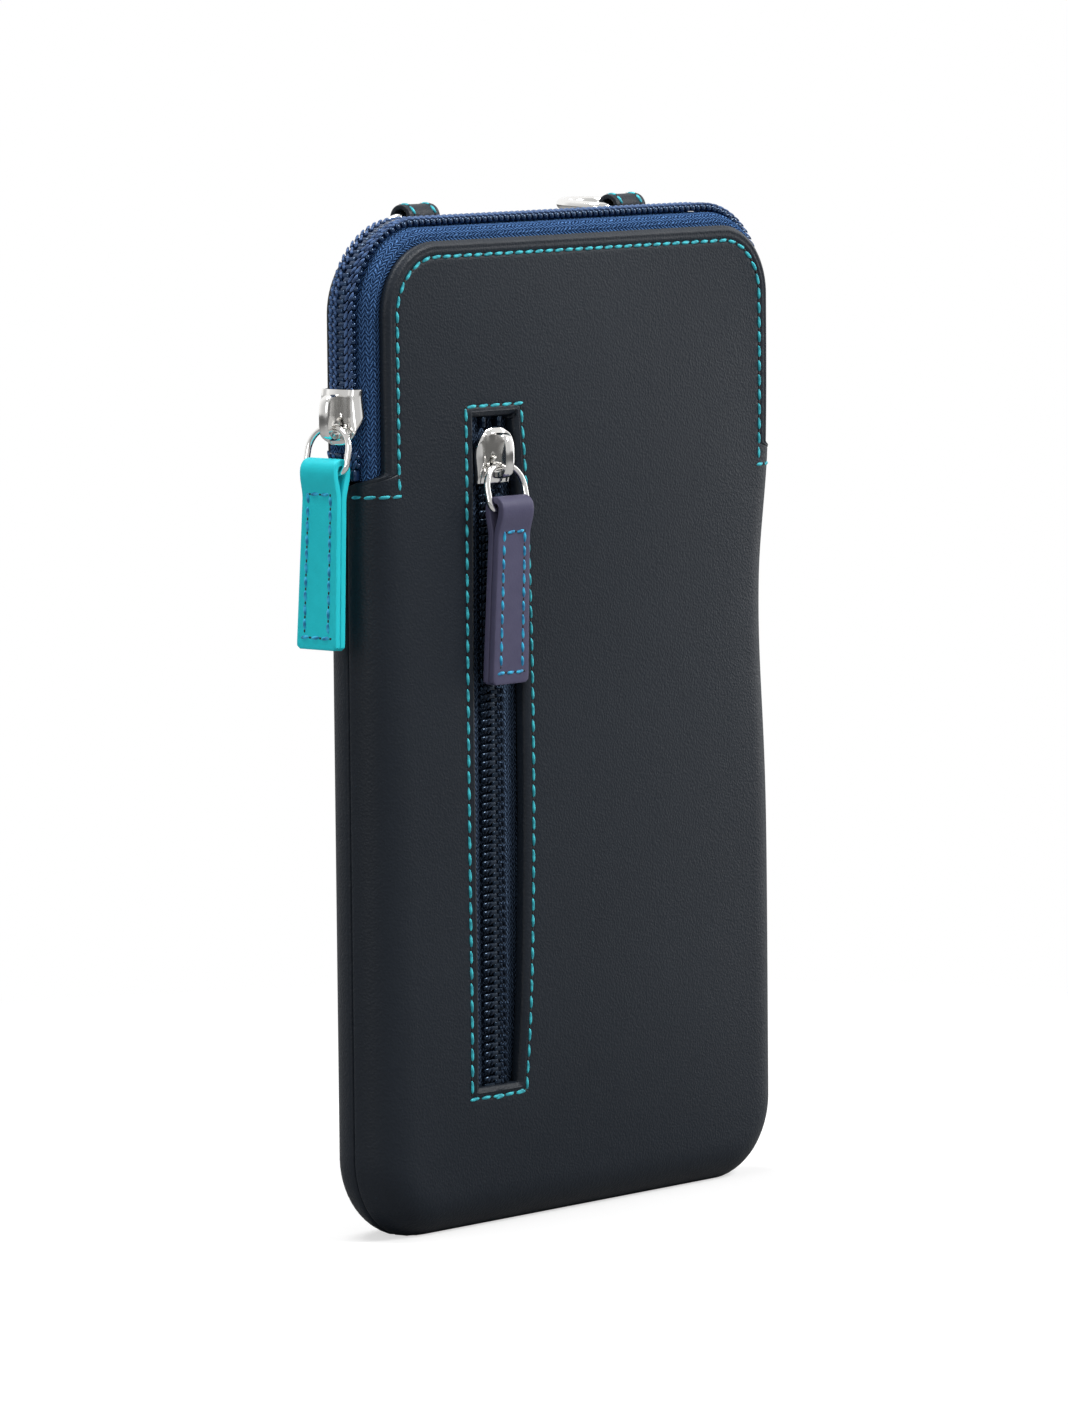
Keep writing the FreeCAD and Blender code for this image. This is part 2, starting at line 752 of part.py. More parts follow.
def build():
    """Every piece of the pouch by its name."""
    loops = {side: strap_loop(side * loop_spacing / 2) for side in (-1, 1)}
    shell = panel_shell()
    tape_strip = main_tape()
    main_hinge = Vector(-main_tape_face - hinge_rise, 0, main_slider_height - hinge_shift)
    pocket_hinge = Vector(
        slot_centre, -pocket_tape_front - hinge_rise, pocket_slider_height - hinge_shift
    )
    main_ring, main_tab = hung_pull(main_hinge, Vector(0, 1, 0), main_tab_tilt)
    pocket_ring, pocket_tab = hung_pull(pocket_hinge, Vector(-1, 0, 0), pocket_tab_tilt)
    main_slider_place = frame(
        Vector(-main_tape_face, 0, main_slider_height), Vector(0, 0, 1), Vector(0, 1, 0)
    )
    return {
        "front_panel": shell.cut(slot_window()),
        "back_panel": back_copy(shell).cut(loops[-1]).cut(loops[1]),
        "front_lining": lining_sheet(),
        "back_lining": back_copy(lining_sheet()),
        "pocket_bag": pocket_bag(),
        "main_zip_front_tape": tape_strip,
        "main_zip_back_tape": back_copy(tape_strip).cut(loops[-1]).cut(loops[1]),
        "main_zip_front_coil": main_coil(-1),
        "main_zip_back_coil": main_coil(1),
        "main_zip_end_stops": main_end_stops(),
        "pocket_zip_left_tape": pocket_tape(-1),
        "pocket_zip_right_tape": pocket_tape(1),
        "pocket_zip_left_coil": pocket_coil(-1),
        "pocket_zip_right_coil": pocket_coil(1),
        "pocket_zip_end_stops": pocket_end_stops(),
        "left_strap_loop": loops[-1],
        "right_strap_loop": loops[1],
        "main_slider": placed(slider(), main_slider_place),
        "main_pull_ring": main_ring,
        "main_pull_tab": main_tab,
        "pocket_slider": placed(slider(), pocket_place(pocket_slider_height)),
        "pocket_pull_ring": pocket_ring,
        "pocket_pull_tab": pocket_tab,
        "left_strap_ring": strap_ring(-loop_spacing / 2, left_ring_angle),
        "right_strap_ring": strap_ring(loop_spacing / 2, right_ring_angle),
    }


os.makedirs("parts", exist_ok=True)
for name, shape in build().items():
    shape.exportStep("parts/" + name + ".step")
    box = shape.BoundBox
    print(f"{name}: {len(shape.Solids)} solids, {shape.Volume:.1f} mm3, valid {shape.isValid()}, {box}")
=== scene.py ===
import math

import bpy
import numpy as np
from mathutils import Matrix, Vector


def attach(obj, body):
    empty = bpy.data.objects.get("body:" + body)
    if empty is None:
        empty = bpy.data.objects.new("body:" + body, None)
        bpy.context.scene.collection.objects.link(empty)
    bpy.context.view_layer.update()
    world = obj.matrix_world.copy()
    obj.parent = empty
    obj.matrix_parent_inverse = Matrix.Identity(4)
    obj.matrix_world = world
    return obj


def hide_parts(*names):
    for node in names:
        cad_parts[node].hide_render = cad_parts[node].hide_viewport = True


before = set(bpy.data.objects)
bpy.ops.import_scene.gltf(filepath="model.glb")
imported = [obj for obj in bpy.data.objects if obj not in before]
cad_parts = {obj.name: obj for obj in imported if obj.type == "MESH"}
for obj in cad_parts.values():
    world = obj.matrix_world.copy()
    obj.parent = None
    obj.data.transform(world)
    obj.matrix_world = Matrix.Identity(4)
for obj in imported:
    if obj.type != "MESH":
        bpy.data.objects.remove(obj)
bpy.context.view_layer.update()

# A slim leather phone pouch, dressed over its solids. Lengths are in millimetres, the studio's in metres.

MM = 0.001

# The pouch
HALF_WIDTH = 55.0
HEIGHT = 181.0
HALF_DEPTH = 7.5
TOP_CORNER = 16.0
BOTTOM_CORNER = 15.0
LOW_RIM = 7.2
HIGH_RIM = 5.0
CROWN = 2.7
CROWN_REACH = 50.0
CROWN_LOW = 46.0
CROWN_HIGH = 52.0
WAIST = 2.1
WAIST_HEIGHT = 106.0
WAIST_REACH = 24.0
SETTLE = 0.6
SETTLE_REACH = 24.0
NOTCH = 136.0
RIM_CHANGE = (NOTCH - 24, NOTCH + 3)
NOTCH_OPENS = (NOTCH - 1.2, NOTCH + 1.6)
FOLD_RISES = (NOTCH - 1, NOTCH + 2)
SETBACK = 2.9
LEATHER = 0.8
LIP = 0.7
LIP_TUCK = 0.9
SEWN = 2.3

# The zips
TAPE = 0.45
TAPE_GAP = 0.7
TAPE_INSET = 0.7
TAPE_DEPTH = 5.5
TAPE_ROUND = 2.4
PITCH = 1.5
MAIN_SLIDER = 147.5
SLOT_CENTRE = -26.0
SLOT_BOTTOM = 26.0
SLOT_TOP = 146.3
SLOT_HALF = 4.95
SLOT_LEFT_BOW = 0.4
SLOT_RIGHT_BOW = 2.0
SLOT_LIP = 0.8
SLOT_SEWN = 1.2
POCKET_FACE = 6.976
POCKET_SLIDER = 139.4

# The pulls
WIRE = 0.58
RING_HALF = 4.9
RING_LENGTH = 8.0
RING_CORNER = 1.8
RING_BOW = 4.2
RING_TILT = 13.0
MAIN_HINGE = Vector((-58.35, 0, 145.7))
POCKET_HINGE = Vector((SLOT_CENTRE, -11.026, 137.6))

# The strap loops and rings
STRAP_SPACING = 28.0
STRAP_EYE = Vector((0, 7.511, 181.4))
STRAP_WIDTH = 8.0
STRAP_ROUND = 2.1
STRAP_STEM = 11.0
STRAP_TURN = 1.5 * math.pi
STRAP_TAIL = 2.4
STRAP_TUCK = 0.75
STRAP_LAY = 0.9
STRAP_LEATHER = 0.78

# The pitches of the stitching
PANEL_PITCH = 2.7
SLOT_PITCH = 2.95
BACKSTITCH_PITCH = 2.6
TAB_PITCH = 2.45
STRAP_PITCH = 2.3


# Helpers for modelling


def smooth(low, high, value):
    """Soft step from 0 at low to 1 at high."""
    share = min(1.0, max(0.0, (value - low) / (high - low)))
    return share * share * (3 - 2 * share)


def bell(value, reach):
    """Soft hump, 1 where the value is 0 and fading over a reach."""
    return math.exp(-((value / reach) ** 2))


def object_mode():
    if bpy.context.object and bpy.context.object.mode != "OBJECT":
        bpy.ops.object.mode_set(mode="OBJECT")


def named(name):
    """The primitive just added, under its own name."""
    piece = bpy.context.object
    piece.name = name
    piece.data.name = name
    return piece


def work_on(piece):
    """Make a piece the only one selected, out of edit mode."""
    object_mode()
    bpy.ops.object.select_all(action="DESELECT")
    piece.select_set(True)
    bpy.context.view_layer.objects.active = piece


def edit_all(piece):
    """Open a piece in edit mode with all of it selected."""
    work_on(piece)
    bpy.ops.object.mode_set(mode="EDIT")
    bpy.ops.mesh.select_all(action="SELECT")


def pick(piece, kind, test):
    """Select the edges or faces that pass a test, and leave edit mode on."""
    work_on(piece)
    bpy.ops.object.mode_set(mode="EDIT")
    bpy.ops.mesh.select_mode(type="EDGE" if kind == "edges" else "FACE")
    bpy.ops.mesh.select_all(action="DESELECT")
    object_mode()
    for item in getattr(piece.data, kind):
        item.select = test(item)
    bpy.ops.object.mode_set(mode="EDIT")


def modify(piece, kind, **settings):
    """Add a modifier with its settings and apply it."""
    work_on(piece)
    modifier = piece.modifiers.new(kind.lower(), kind)
    for key, value in settings.items():
        setattr(modifier, key, value)
    bpy.ops.object.modifier_apply(modifier=modifier.name)


def mend(piece, distance=0.0005):
    """Merge doubled points and turn every face outwards."""
    edit_all(piece)
    bpy.ops.mesh.remove_doubles(threshold=distance * MM)
    bpy.ops.mesh.normals_make_consistent(inside=False)
    object_mode()


def bevel(piece, width, segments=2, angle=60):
    """Round the edges that are sharper than an angle."""
    limit = math.radians(angle)
    modify(piece, "BEVEL", width=width * MM, segments=segments, limit_method="ANGLE", angle_limit=limit)


def stretched(name, size, place, turn=0.0):
    """The primitive just added, brought to a size and a place, and turned about its Z."""
    piece = named(name)
    piece.scale = [length * MM for length in size]
    piece.location = [length * MM for length in place]
    piece.rotation_euler = (0, 0, turn)
    bpy.ops.object.transform_apply(location=True, rotation=True, scale=True)
    return piece


def soften(piece, angle):
    """Shade a piece smooth, apart from edges sharper than an angle."""
    work_on(piece)
    bpy.ops.object.shade_smooth_by_angle(angle=math.radians(angle))


def sheet(name, columns, rows, place):
    """A grid whose points are moved to place(column, row), with the grid's own UV map."""
    bpy.ops.mesh.primitive_grid_add(x_subdivisions=columns, y_subdivisions=rows, size=2)
    piece = named(name)
    for vertex in piece.data.vertices:
        column = round((vertex.co.x + 1) / 2 * columns)
        row = round((vertex.co.y + 1) / 2 * rows)
        vertex.co = Vector(place(column, row)) * MM
    return piece


def slab(name, columns, rows, place, thickness, offset=-1.0):
    """A sheet made solid, inwards unless the offset says otherwise."""
    piece = sheet(name, columns, rows, place)
    mend(piece)
    modify(piece, "SOLIDIFY", thickness=thickness * MM, offset=offset)
    return piece


def dress(piece, body, slot, finish, *nodes):
    """Give a piece its finish, the body it rides on and the solids it stands for."""
    piece.data.materials.clear()
    piece.data.materials.append(finish)
    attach(piece, body)
    if nodes:
        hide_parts(*nodes)


def copies(name, model, places):
    """One mesh with a copy of a model at each place, and the model itself taken away."""
    source = model.data
    points = np.empty(len(source.vertices) * 3)
    source.vertices.foreach_get("co", points)
    points = points.reshape(-1, 3)
    faces = [list(face.vertices) for face in source.polygons]
    all_points = []
    all_faces = []
    for place in places:
        start = len(all_points) * len(points)
        turn = np.array(place.to_3x3())
        all_points.append(points @ turn.T + np.array(place.translation))
        all_faces += [[start + index for index in face] for face in faces]
    mesh = bpy.data.meshes.new(name)
    mesh.from_pydata(np.concatenate(all_points).tolist(), [], all_faces)
    piece = bpy.data.objects.new(name, mesh)
    bpy.context.collection.objects.link(piece)
    bpy.data.objects.remove(model)
    work_on(piece)
    bpy.ops.object.shade_smooth()
    return piece


def axes(origin, along, across):
    """Place with its X along a run, its Y across it, and its Z out of the surface."""
    along = Vector(along).normalized()
    out = along.cross(Vector(across)).normalized()
    across = out.cross(along)
    place = Matrix((along, across, out)).transposed().to_4x4()
    place.translation = Vector(origin) * MM
    return place


def walk(points, normals, pitch):
    """Places at an even pitch along a line of points on a surface."""
    lengths = [0.0]
    for near, following in zip(points, points[1:]):
        lengths.append(lengths[-1] + (following - near).length)
    count = max(1, round(lengths[-1] / pitch))
    pitch = lengths[-1] / count
    places = []
    index = 0
    for step in range(count):
        target = (step + 0.5) * pitch
        while lengths[index + 1] < target:
            index += 1
        share = (target - lengths[index]) / (lengths[index + 1] - lengths[index])
        point = points[index].lerp(points[index + 1], share)
        normal = normals[index].lerp(normals[index + 1], share)
        along = points[index + 1] - points[index]
        places.append(axes(point, along, normal.cross(along)))
    return places


# Finishes


class Shade:
    """A shader socket that arithmetic works on."""

    def __init__(self, tree, plug=None):
        self.tree = tree
        self.plug = plug

    def add(self, kind, settings=None, sockets=None, output=0):
        """Add a node of any kind: its settings first, then its values and links."""
        node = self.tree.nodes.new(kind)
        for key, value in (settings or {}).items():
            setattr(node, key, value)
        for key, value in (sockets or {}).items():
            if isinstance(value, Shade):
                self.tree.links.new(value.plug, node.inputs[key])
            else:
                node.inputs[key].default_value = value
        return Shade(self.tree, node.outputs[output])

    def maths(self, operation, first, second=0.0):
        return self.add("ShaderNodeMath", {"operation": operation}, {0: first, 1: second})

    def __add__(self, other):
        return self.maths("ADD", self, other)

    def __sub__(self, other):
        return self.maths("SUBTRACT", self, other)

    def __rsub__(self, other):
        return self.maths("SUBTRACT", other, self)

    def __mul__(self, other):
        return self.maths("MULTIPLY", self, other)

    def __truediv__(self, other):
        return self.maths("DIVIDE", self, other)

    def __abs__(self):
        return self.maths("ABSOLUTE", self)

    def sine(self):
        return self.maths("SINE", self)

    def part(self):
        return self.maths("FRACT", self)

    def spread(self, low, high):
        """This value stretched so that low becomes 0 and high becomes 1."""
        return self.add("ShaderNodeMapRange", None, {0: self, 1: low, 2: high, 3: 0.0, 4: 1.0})

    def blend(self, dark, light):
        """Colour between two colours, by this value."""
        colours = {0: self, 6: (*dark, 1), 7: (*light, 1)}
        return self.add("ShaderNodeMix", {"data_type": "RGBA"}, colours, output=2)

    def place(self):
        """Coordinates in the piece's own space."""
        return self.add("ShaderNodeTexCoord", output=3)

    def axis(self, index):
        """One part of this vector."""
        return self.add("ShaderNodeSeparateXYZ", None, {0: self}, output=index)

    def noise(self, place, size, detail, roughness=0.55):
        """Soft noise, its lumps of a size in millimetres."""
        values = {"Vector": place, "Scale": 1 / MM / size, "Detail": detail, "Roughness": roughness}
        return self.add("ShaderNodeTexNoise", None, values)

    def bump(self, height, strength, distance):
        values = {"Height": height, "Strength": strength, "Distance": distance * MM}
        return self.add("ShaderNodeBump", None, values)


def new_finish(name, **constants):
    """A material, its start for arithmetic and its shader, with the shader's plain values set."""
    finish = bpy.data.materials.new(name)
    finish.use_nodes = True
    tree = finish.node_tree
    shader = tree.nodes["Principled BSDF"]
    for key, value in constants.items():
        shader.inputs[key.replace("_", " ")].default_value = value
    return finish, Shade(tree), shader


def feed(shader, **links):
    for key, value in links.items():
        value.tree.links.new(value.plug, shader.inputs[key.replace("_", " ")])


def leather(name, dark, light, grain, depth, gloss=0.2):
    """Fine grained leather: small cells, fine pores and a slow change of shade."""
    finish, shade, shader = new_finish(name, Specular_IOR_Level=gloss)
    place = shade.place()
    cells = shade.add(
        "ShaderNodeTexVoronoi",
        {"feature": "SMOOTH_F1"},
        {"Vector": place, "Scale": 1 / MM / grain, "Smoothness": 0.6, "Randomness": 1.0},
    )
    pores = shade.noise(place, 0.35, 2.0)
    slow = shade.noise(place, 38.0, 3.0)
    mottled = shade.noise(place, 2.6, 4.0, 0.6)
    sheen = shade.noise(place, 6.0, 3.0)
    tone = (slow * 0.6 + mottled * 0.4).spread(0.3, 0.7)
    feed(
        shader,
        Base_Color=tone.blend(dark, light),
        Roughness=sheen * 0.14 + 0.39 + cells * 0.05,
        Normal=shade.bump(cells * 0.8 + pores * 0.5, 0.8, depth),
    )
    return finish


def knitted_tape(name, length, width, dark, light):
    """Knitted zip tape: slanting stitches in columns that lean left and right in turn, with painted shade in
    the gaps where the yarn sinks.
    """
    finish, shade, shader = new_finish(name, Specular_IOR_Level=0.0)
    uv = shade.add("ShaderNodeUVMap", {"uv_map": "UVMap"})
    place = shade.place()
    column_width, stitch_length, slope = 0.72, 0.95, 1.3
    wobble = shade.noise(place, 1.1, 2.0) - 0.5
    along = uv.axis(0) * length + wobble * 1.1
    column = uv.axis(1) * width / column_width + wobble * 0.8
    lean = abs((column * 0.5).part() - 0.5) * 2.0
    slant = (along / stitch_length + lean * slope) * (2 * math.pi)
    yarn = slant.sine() * 0.5 + 0.5
    ridge = 1.0 - abs(column.part() - 0.5) * 2.0
    fuzz = shade.noise(place, 0.25, 2.0)
    height = yarn * (ridge * 0.7 + 0.3) + fuzz * 0.3
    feed(
        shader,
        # Painted shade: the colour follows the yarn's height, darker in the gaps between stitches and
        # columns.
        Base_Color=height.spread(0.20, 0.95).blend(dark, light),
        Roughness=fuzz * 0.2 + 0.62,
        Normal=shade.bump(height, 1.0, 0.30),
    )
    return finish


def polished_nickel(name):
    """Nickel plate with a faint cloud in its polish."""
    finish, shade, shader = new_finish(name, Metallic=1.0)
    place = shade.place()
    cloud = shade.noise(place, 3.0, 3.0)
    fine = shade.noise(place, 0.5, 2.0)
    feed(
        shader,
        Base_Color=cloud.blend((0.86, 0.85, 0.83), (0.97, 0.96, 0.94)),
        Roughness=cloud * 0.07 + fine * 0.03 + 0.05,
        Normal=shade.bump(cloud + fine * 0.3, 0.05, 0.05),
    )
    return finish


def thread(name, dark, light, twist, gloss=0.35):
    """Twisted sewing thread in diagonal strands, with painted highlight along the tops of the strands and
    painted shade between them.
    """
    finish, shade, shader = new_finish(name, Specular_IOR_Level=gloss, Sheen_Weight=0.1)
    place = shade.place()
    strands = shade.add(
        "ShaderNodeTexWave",
        {"wave_type": "BANDS", "bands_direction": "DIAGONAL"},
        {"Vector": place, "Scale": 1 / MM / twist / 6.0, "Distortion": 1.5, "Detail": 1.0},
        output=1,
    )
    fuzz = shade.noise(place, 0.2, 2.0)
    feed(
        shader,
        # Painted highlight and shade: lighter on the tops of the strands, darker in the grooves between
        # them.
        Base_Color=(strands * 0.7 + fuzz * 0.3).blend(dark, light),
        Roughness=fuzz * 0.2 + 0.45,
        Normal=shade.bump(strands, 0.6, 0.05),
    )
    return finish


def coil_plastic(name, dark, light, gloss):
    """Drawn plastic wire of the zip coils, dark with a tight bluish gloss."""
    blue = (0.42, 0.66, 1.0, 1)
    finish, shade, shader = new_finish(name, Specular_IOR_Level=gloss, Specular_Tint=blue)
    cloud = shade.noise(shade.place(), 1.2, 2.0)
    feed(
        shader,
        Base_Color=cloud.blend(dark, light),
        Roughness=cloud * 0.05 + 0.04,
        Normal=shade.bump(cloud, 0.15, 0.05),
    )
    return finish


def woven_lining(name):
    """Plain woven lining cloth."""
    finish, shade, shader = new_finish(name, Specular_IOR_Level=0.2)
    place = shade.place()
    turns = 2 * math.pi / (0.4 * MM)
    weave = (place.axis(0) * turns).sine() * (place.axis(2) * turns).sine() * 0.5 + 0.5
    feed(
        shader,
        Base_Color=weave.blend((0.016, 0.019, 0.026), (0.045, 0.051, 0.066)),
        Roughness=weave * 0.1 + 0.75,
        Normal=shade.bump(weave, 0.5, 0.06),
    )
    return finish


DARK_LEATHER = leather(
    "dark_leather", (0.0054, 0.0094, 0.0160), (0.0088, 0.0136, 0.0212), 0.45, 0.09, gloss=0.27
)
TEAL_LEATHER = leather("teal_leather", (0.014, 0.55, 0.63), (0.022, 0.67, 0.76), 0.4, 0.02)
PURPLE_LEATHER = leather("purple_leather", (0.068, 0.065, 0.118), (0.095, 0.091, 0.158), 0.4, 0.02)
NICKEL = polished_nickel("polished_nickel")
TURQUOISE = thread("turquoise_thread", (0.010, 0.23, 0.30), (0.06, 0.68, 0.78), 0.5)
TAB_THREAD = thread("tab_thread", (0.003, 0.11, 0.31), (0.04, 0.60, 0.92), 0.5)
BLUE_THREAD = thread("blue_thread", (0.012, 0.030, 0.085), (0.090, 0.180, 0.390), 0.4, 0.2)
# Darker than the blue thread: partly the pocket zip's own colour, partly painted shade of the slot.
DARK_THREAD = thread("dark_thread", (0.003, 0.006, 0.012), (0.030, 0.048, 0.082), 0.4, 0.0)
# Near-black, painted shade for the needle holes.
NEEDLE_HOLE_SHADE = thread("needle_hole_shade", (0.002, 0.003, 0.004), (0.005, 0.006, 0.007), 0.5)
MAIN_PLASTIC = coil_plastic("main_coil_plastic", (0.003, 0.010, 0.036), (0.010, 0.028, 0.080), 0.85)
# Darker than the main coil: partly the pocket coil's own colour, partly painted shade of the slot.
POCKET_PLASTIC = coil_plastic("pocket_coil_plastic", (0.002, 0.004, 0.009), (0.005, 0.010, 0.020), 0.45)
LINING_CLOTH = woven_lining("lining_cloth")


# The leather panels

FOOT_RUN = HALF_WIDTH - BOTTOM_CORNER
FOOT_BEND = BOTTOM_CORNER * math.pi / 2
WALL = HEIGHT - TOP_CORNER - BOTTOM_CORNER
TOP_BEND = TOP_CORNER * math.pi / 2
TOP_RUN = HALF_WIDTH - TOP_CORNER
ROUND = 2 * (FOOT_RUN + FOOT_BEND + WALL + TOP_BEND + TOP_RUN)


def wall_distance(z):
    """Distance round the outline to a height on its right side."""
    return FOOT_RUN + FOOT_BEND + z - BOTTOM_CORNER


def outline(distance):
    """Point on the pouch's outline and its outward direction, from the middle of its foot."""
    distance %= ROUND
    hand = 1 if distance < ROUND / 2 else -1
    gone = min(distance, ROUND - distance)
    if gone < FOOT_RUN:
        return hand * gone, 0.0, 0.0, -1.0
    gone -= FOOT_RUN
    if gone < FOOT_BEND:
        angle = gone / BOTTOM_CORNER - math.pi / 2
        out_x, out_z = math.cos(angle), math.sin(angle)
        return hand * (FOOT_RUN + BOTTOM_CORNER * out_x), BOTTOM_CORNER * (1 + out_z), hand * out_x, out_z
    gone -= FOOT_BEND
    if gone < WALL:
        return hand * HALF_WIDTH, BOTTOM_CORNER + gone, hand, 0.0
    gone -= WALL
    if gone < TOP_BEND:
        angle = gone / TOP_CORNER
        out_x, out_z = math.cos(angle), math.sin(angle)
        return hand * (TOP_RUN + TOP_CORNER * out_x), HEIGHT - TOP_CORNER * (1 - out_z), hand * out_x, out_z
    return hand * (TOP_RUN + TOP_BEND - gone), HEIGHT, 0.0, 1.0


def rim_radius(z):
    """The rim is rounder below the zip than beside it."""
    return LOW_RIM + (HIGH_RIM - LOW_RIM) * smooth(*RIM_CHANGE, z)


def crown(x, z):
    """How far the middle of a panel swells."""
    low = 1 - (1 - min(1.0, max(0.0, z / CROWN_LOW))) ** 2
    high = 1 - (1 - min(1.0, max(0.0, (HEIGHT - z) / CROWN_HIGH))) ** 2
    return CROWN * low * high * max(0.0, 1 - (x / CROWN_REACH) ** 2)


def waist(x, z):
    """The right side pulls in a little between its corners."""
    pull = WAIST * bell(z - WAIST_HEIGHT, WAIST_REACH)
    return x - pull * max(0.0, x / HALF_WIDTH) ** 2


def edge_length(z):
    """Length of the rim that the panel leaves open beside the zip."""
    radius = rim_radius(z)
    angle = math.acos(1 - SETBACK / radius)
    opened = (HALF_DEPTH - radius) + radius * angle
    return opened * smooth(*NOTCH_OPENS, z)


def rim_place(length, z):
    """Inset, depth and slope of the rim at a length from the seam."""
    radius = rim_radius(z)
    wall = HALF_DEPTH - radius
    quarter = radius * math.pi / 2
    if length < wall:
        return 0.0, length, 0.0
    if length < wall + quarter:
        angle = (length - wall) / radius
        return radius * (1 - math.cos(angle)), wall + radius * math.sin(angle), angle
    return radius + length - wall - quarter, HALF_DEPTH, math.pi / 2


def panel_place(distance, length, side, lip=0.0, under=0.0):
    """Point on a panel and its outward normal: lip turns under the edge, under goes deeper."""
    x, z, out_x, out_z = outline(distance)
    inset, depth, slope = rim_place(length, z)
    across, rise = -math.cos(slope), math.sin(slope)
    inset -= math.sin(slope) * LIP * math.sin(lip)
    depth -= math.cos(slope) * LIP * math.sin(lip)
    drop = LIP * (1 - math.cos(lip)) + under
    inset -= across * drop
    depth -= rise * drop
    x -= out_x * inset
    z -= out_z * inset
    normal = Vector((-across * out_x, side * rise, -across * out_z))
    settled = max(0.0, z - SETTLE * smooth(SETTLE_REACH, 0, z))
    return Vector((waist(x, z), side * (depth + crown(x, z)), settled)), normal


EDGE_FOLDS = ((0.22, 0.20, 0.17), (0.15, 0.62, 0.17), (-0.17, 1.0, 0.18))


def turned_edge(length, sewn):
    """Two low ridges over a turned edge, and the groove that its stitches pull in."""
    share = length / sewn
    return sum(height * bell(share - at, reach) for height, at, reach in EDGE_FOLDS)


LIP_TURNS = [math.radians(angle) for angle in (90, 90, 60, 30)]
FINE_STEP = 0.22
COARSE_STEP = 1.5
NOTCH_REACH = 2.6
EDGE_ROWS = [FINE_STEP * step for step in range(16)] + [3.8, 4.4, 5.2, 6.2, 7.4, 8.8, 10.4, 12.2]
INNER_ROWS = 14
MIDDLE_LOW = 55.0
MIDDLE_HIGH = 126.0


def panel_columns():
    """Distances round the outline, the same on both sides, closer together where the notch turns."""
    notch = wall_distance(NOTCH)
    distances = []
    at = 0.0
    while at < ROUND / 2 - FINE_STEP:
        distances.append(at)
        at += FINE_STEP if abs(at - notch) < NOTCH_REACH else COARSE_STEP
    return distances + [ROUND / 2] + [ROUND - distance for distance in reversed(distances)]


def panel(name, side):
    """A panel's outer leather as one sheet from its turned edge to its middle."""
    columns = panel_columns()
    edges = len(LIP_TURNS) + len(EDGE_ROWS)

    def place(column, row):
        distance = columns[column]
        z = outline(distance)[1]
        start = edge_length(z) + LIP
        if row < len(LIP_TURNS):
            tuck = LIP_TUCK if row == 0 else 0.0
            return panel_place(distance, start, side, LIP_TURNS[row], tuck)[0]
        if row < edges:
            along = EDGE_ROWS[row - len(LIP_TURNS)]
            ridge = turned_edge(along, SEWN) * smooth(*FOLD_RISES, z)
            return panel_place(distance, start + along, side, under=-ridge)[0]
        last = panel_place(distance, start + EDGE_ROWS[-1], side)[0]
        middle = min(MIDDLE_HIGH, max(MIDDLE_LOW, last.z))
        share = (row - edges + 1) / INNER_ROWS
        x = last.x * (1 - share)
        z = last.z + (middle - last.z) * share
        return Vector((x, side * (HALF_DEPTH + crown(x, z)), z))

    piece = sheet(name, len(columns) - 1, edges + INNER_ROWS - 1, place)
    mend(piece)
    return piece


def finish_panel(piece, node):
    """Give a panel's leather its thickness and its finish."""
    modify(piece, "SOLIDIFY", thickness=LEATHER * MM, offset=-1.0)
    soften(piece, 60)
    dress(piece, "pouch", "dark_leather", DARK_LEATHER, node)


def slot_half(z, off):
    """Half the width of the pocket slot at a height, on the side that off is on."""
    share = (z - SLOT_BOTTOM) / (SLOT_TOP - SLOT_BOTTOM) * 2 - 1
    bow = SLOT_RIGHT_BOW if off > 0 else SLOT_LEFT_BOW
    return SLOT_HALF + bow * max(0.0, 1 - share * share)


SLOT_ROWS = [0.0, 0.24, 0.48, 0.74, 1.0, 1.2, 1.5, 1.9]


def slot_distance(x, z):
    """Distance in the panel from the line where the slot's edge starts to turn under."""
    across = abs(x - SLOT_CENTRE) - slot_half(z, x - SLOT_CENTRE) - SLOT_LIP
    beyond = max(SLOT_BOTTOM - SLOT_LIP - z, z - SLOT_TOP - SLOT_LIP)
    if across > 0 and beyond > 0:
        return math.hypot(across, beyond)
    return max(across, beyond)


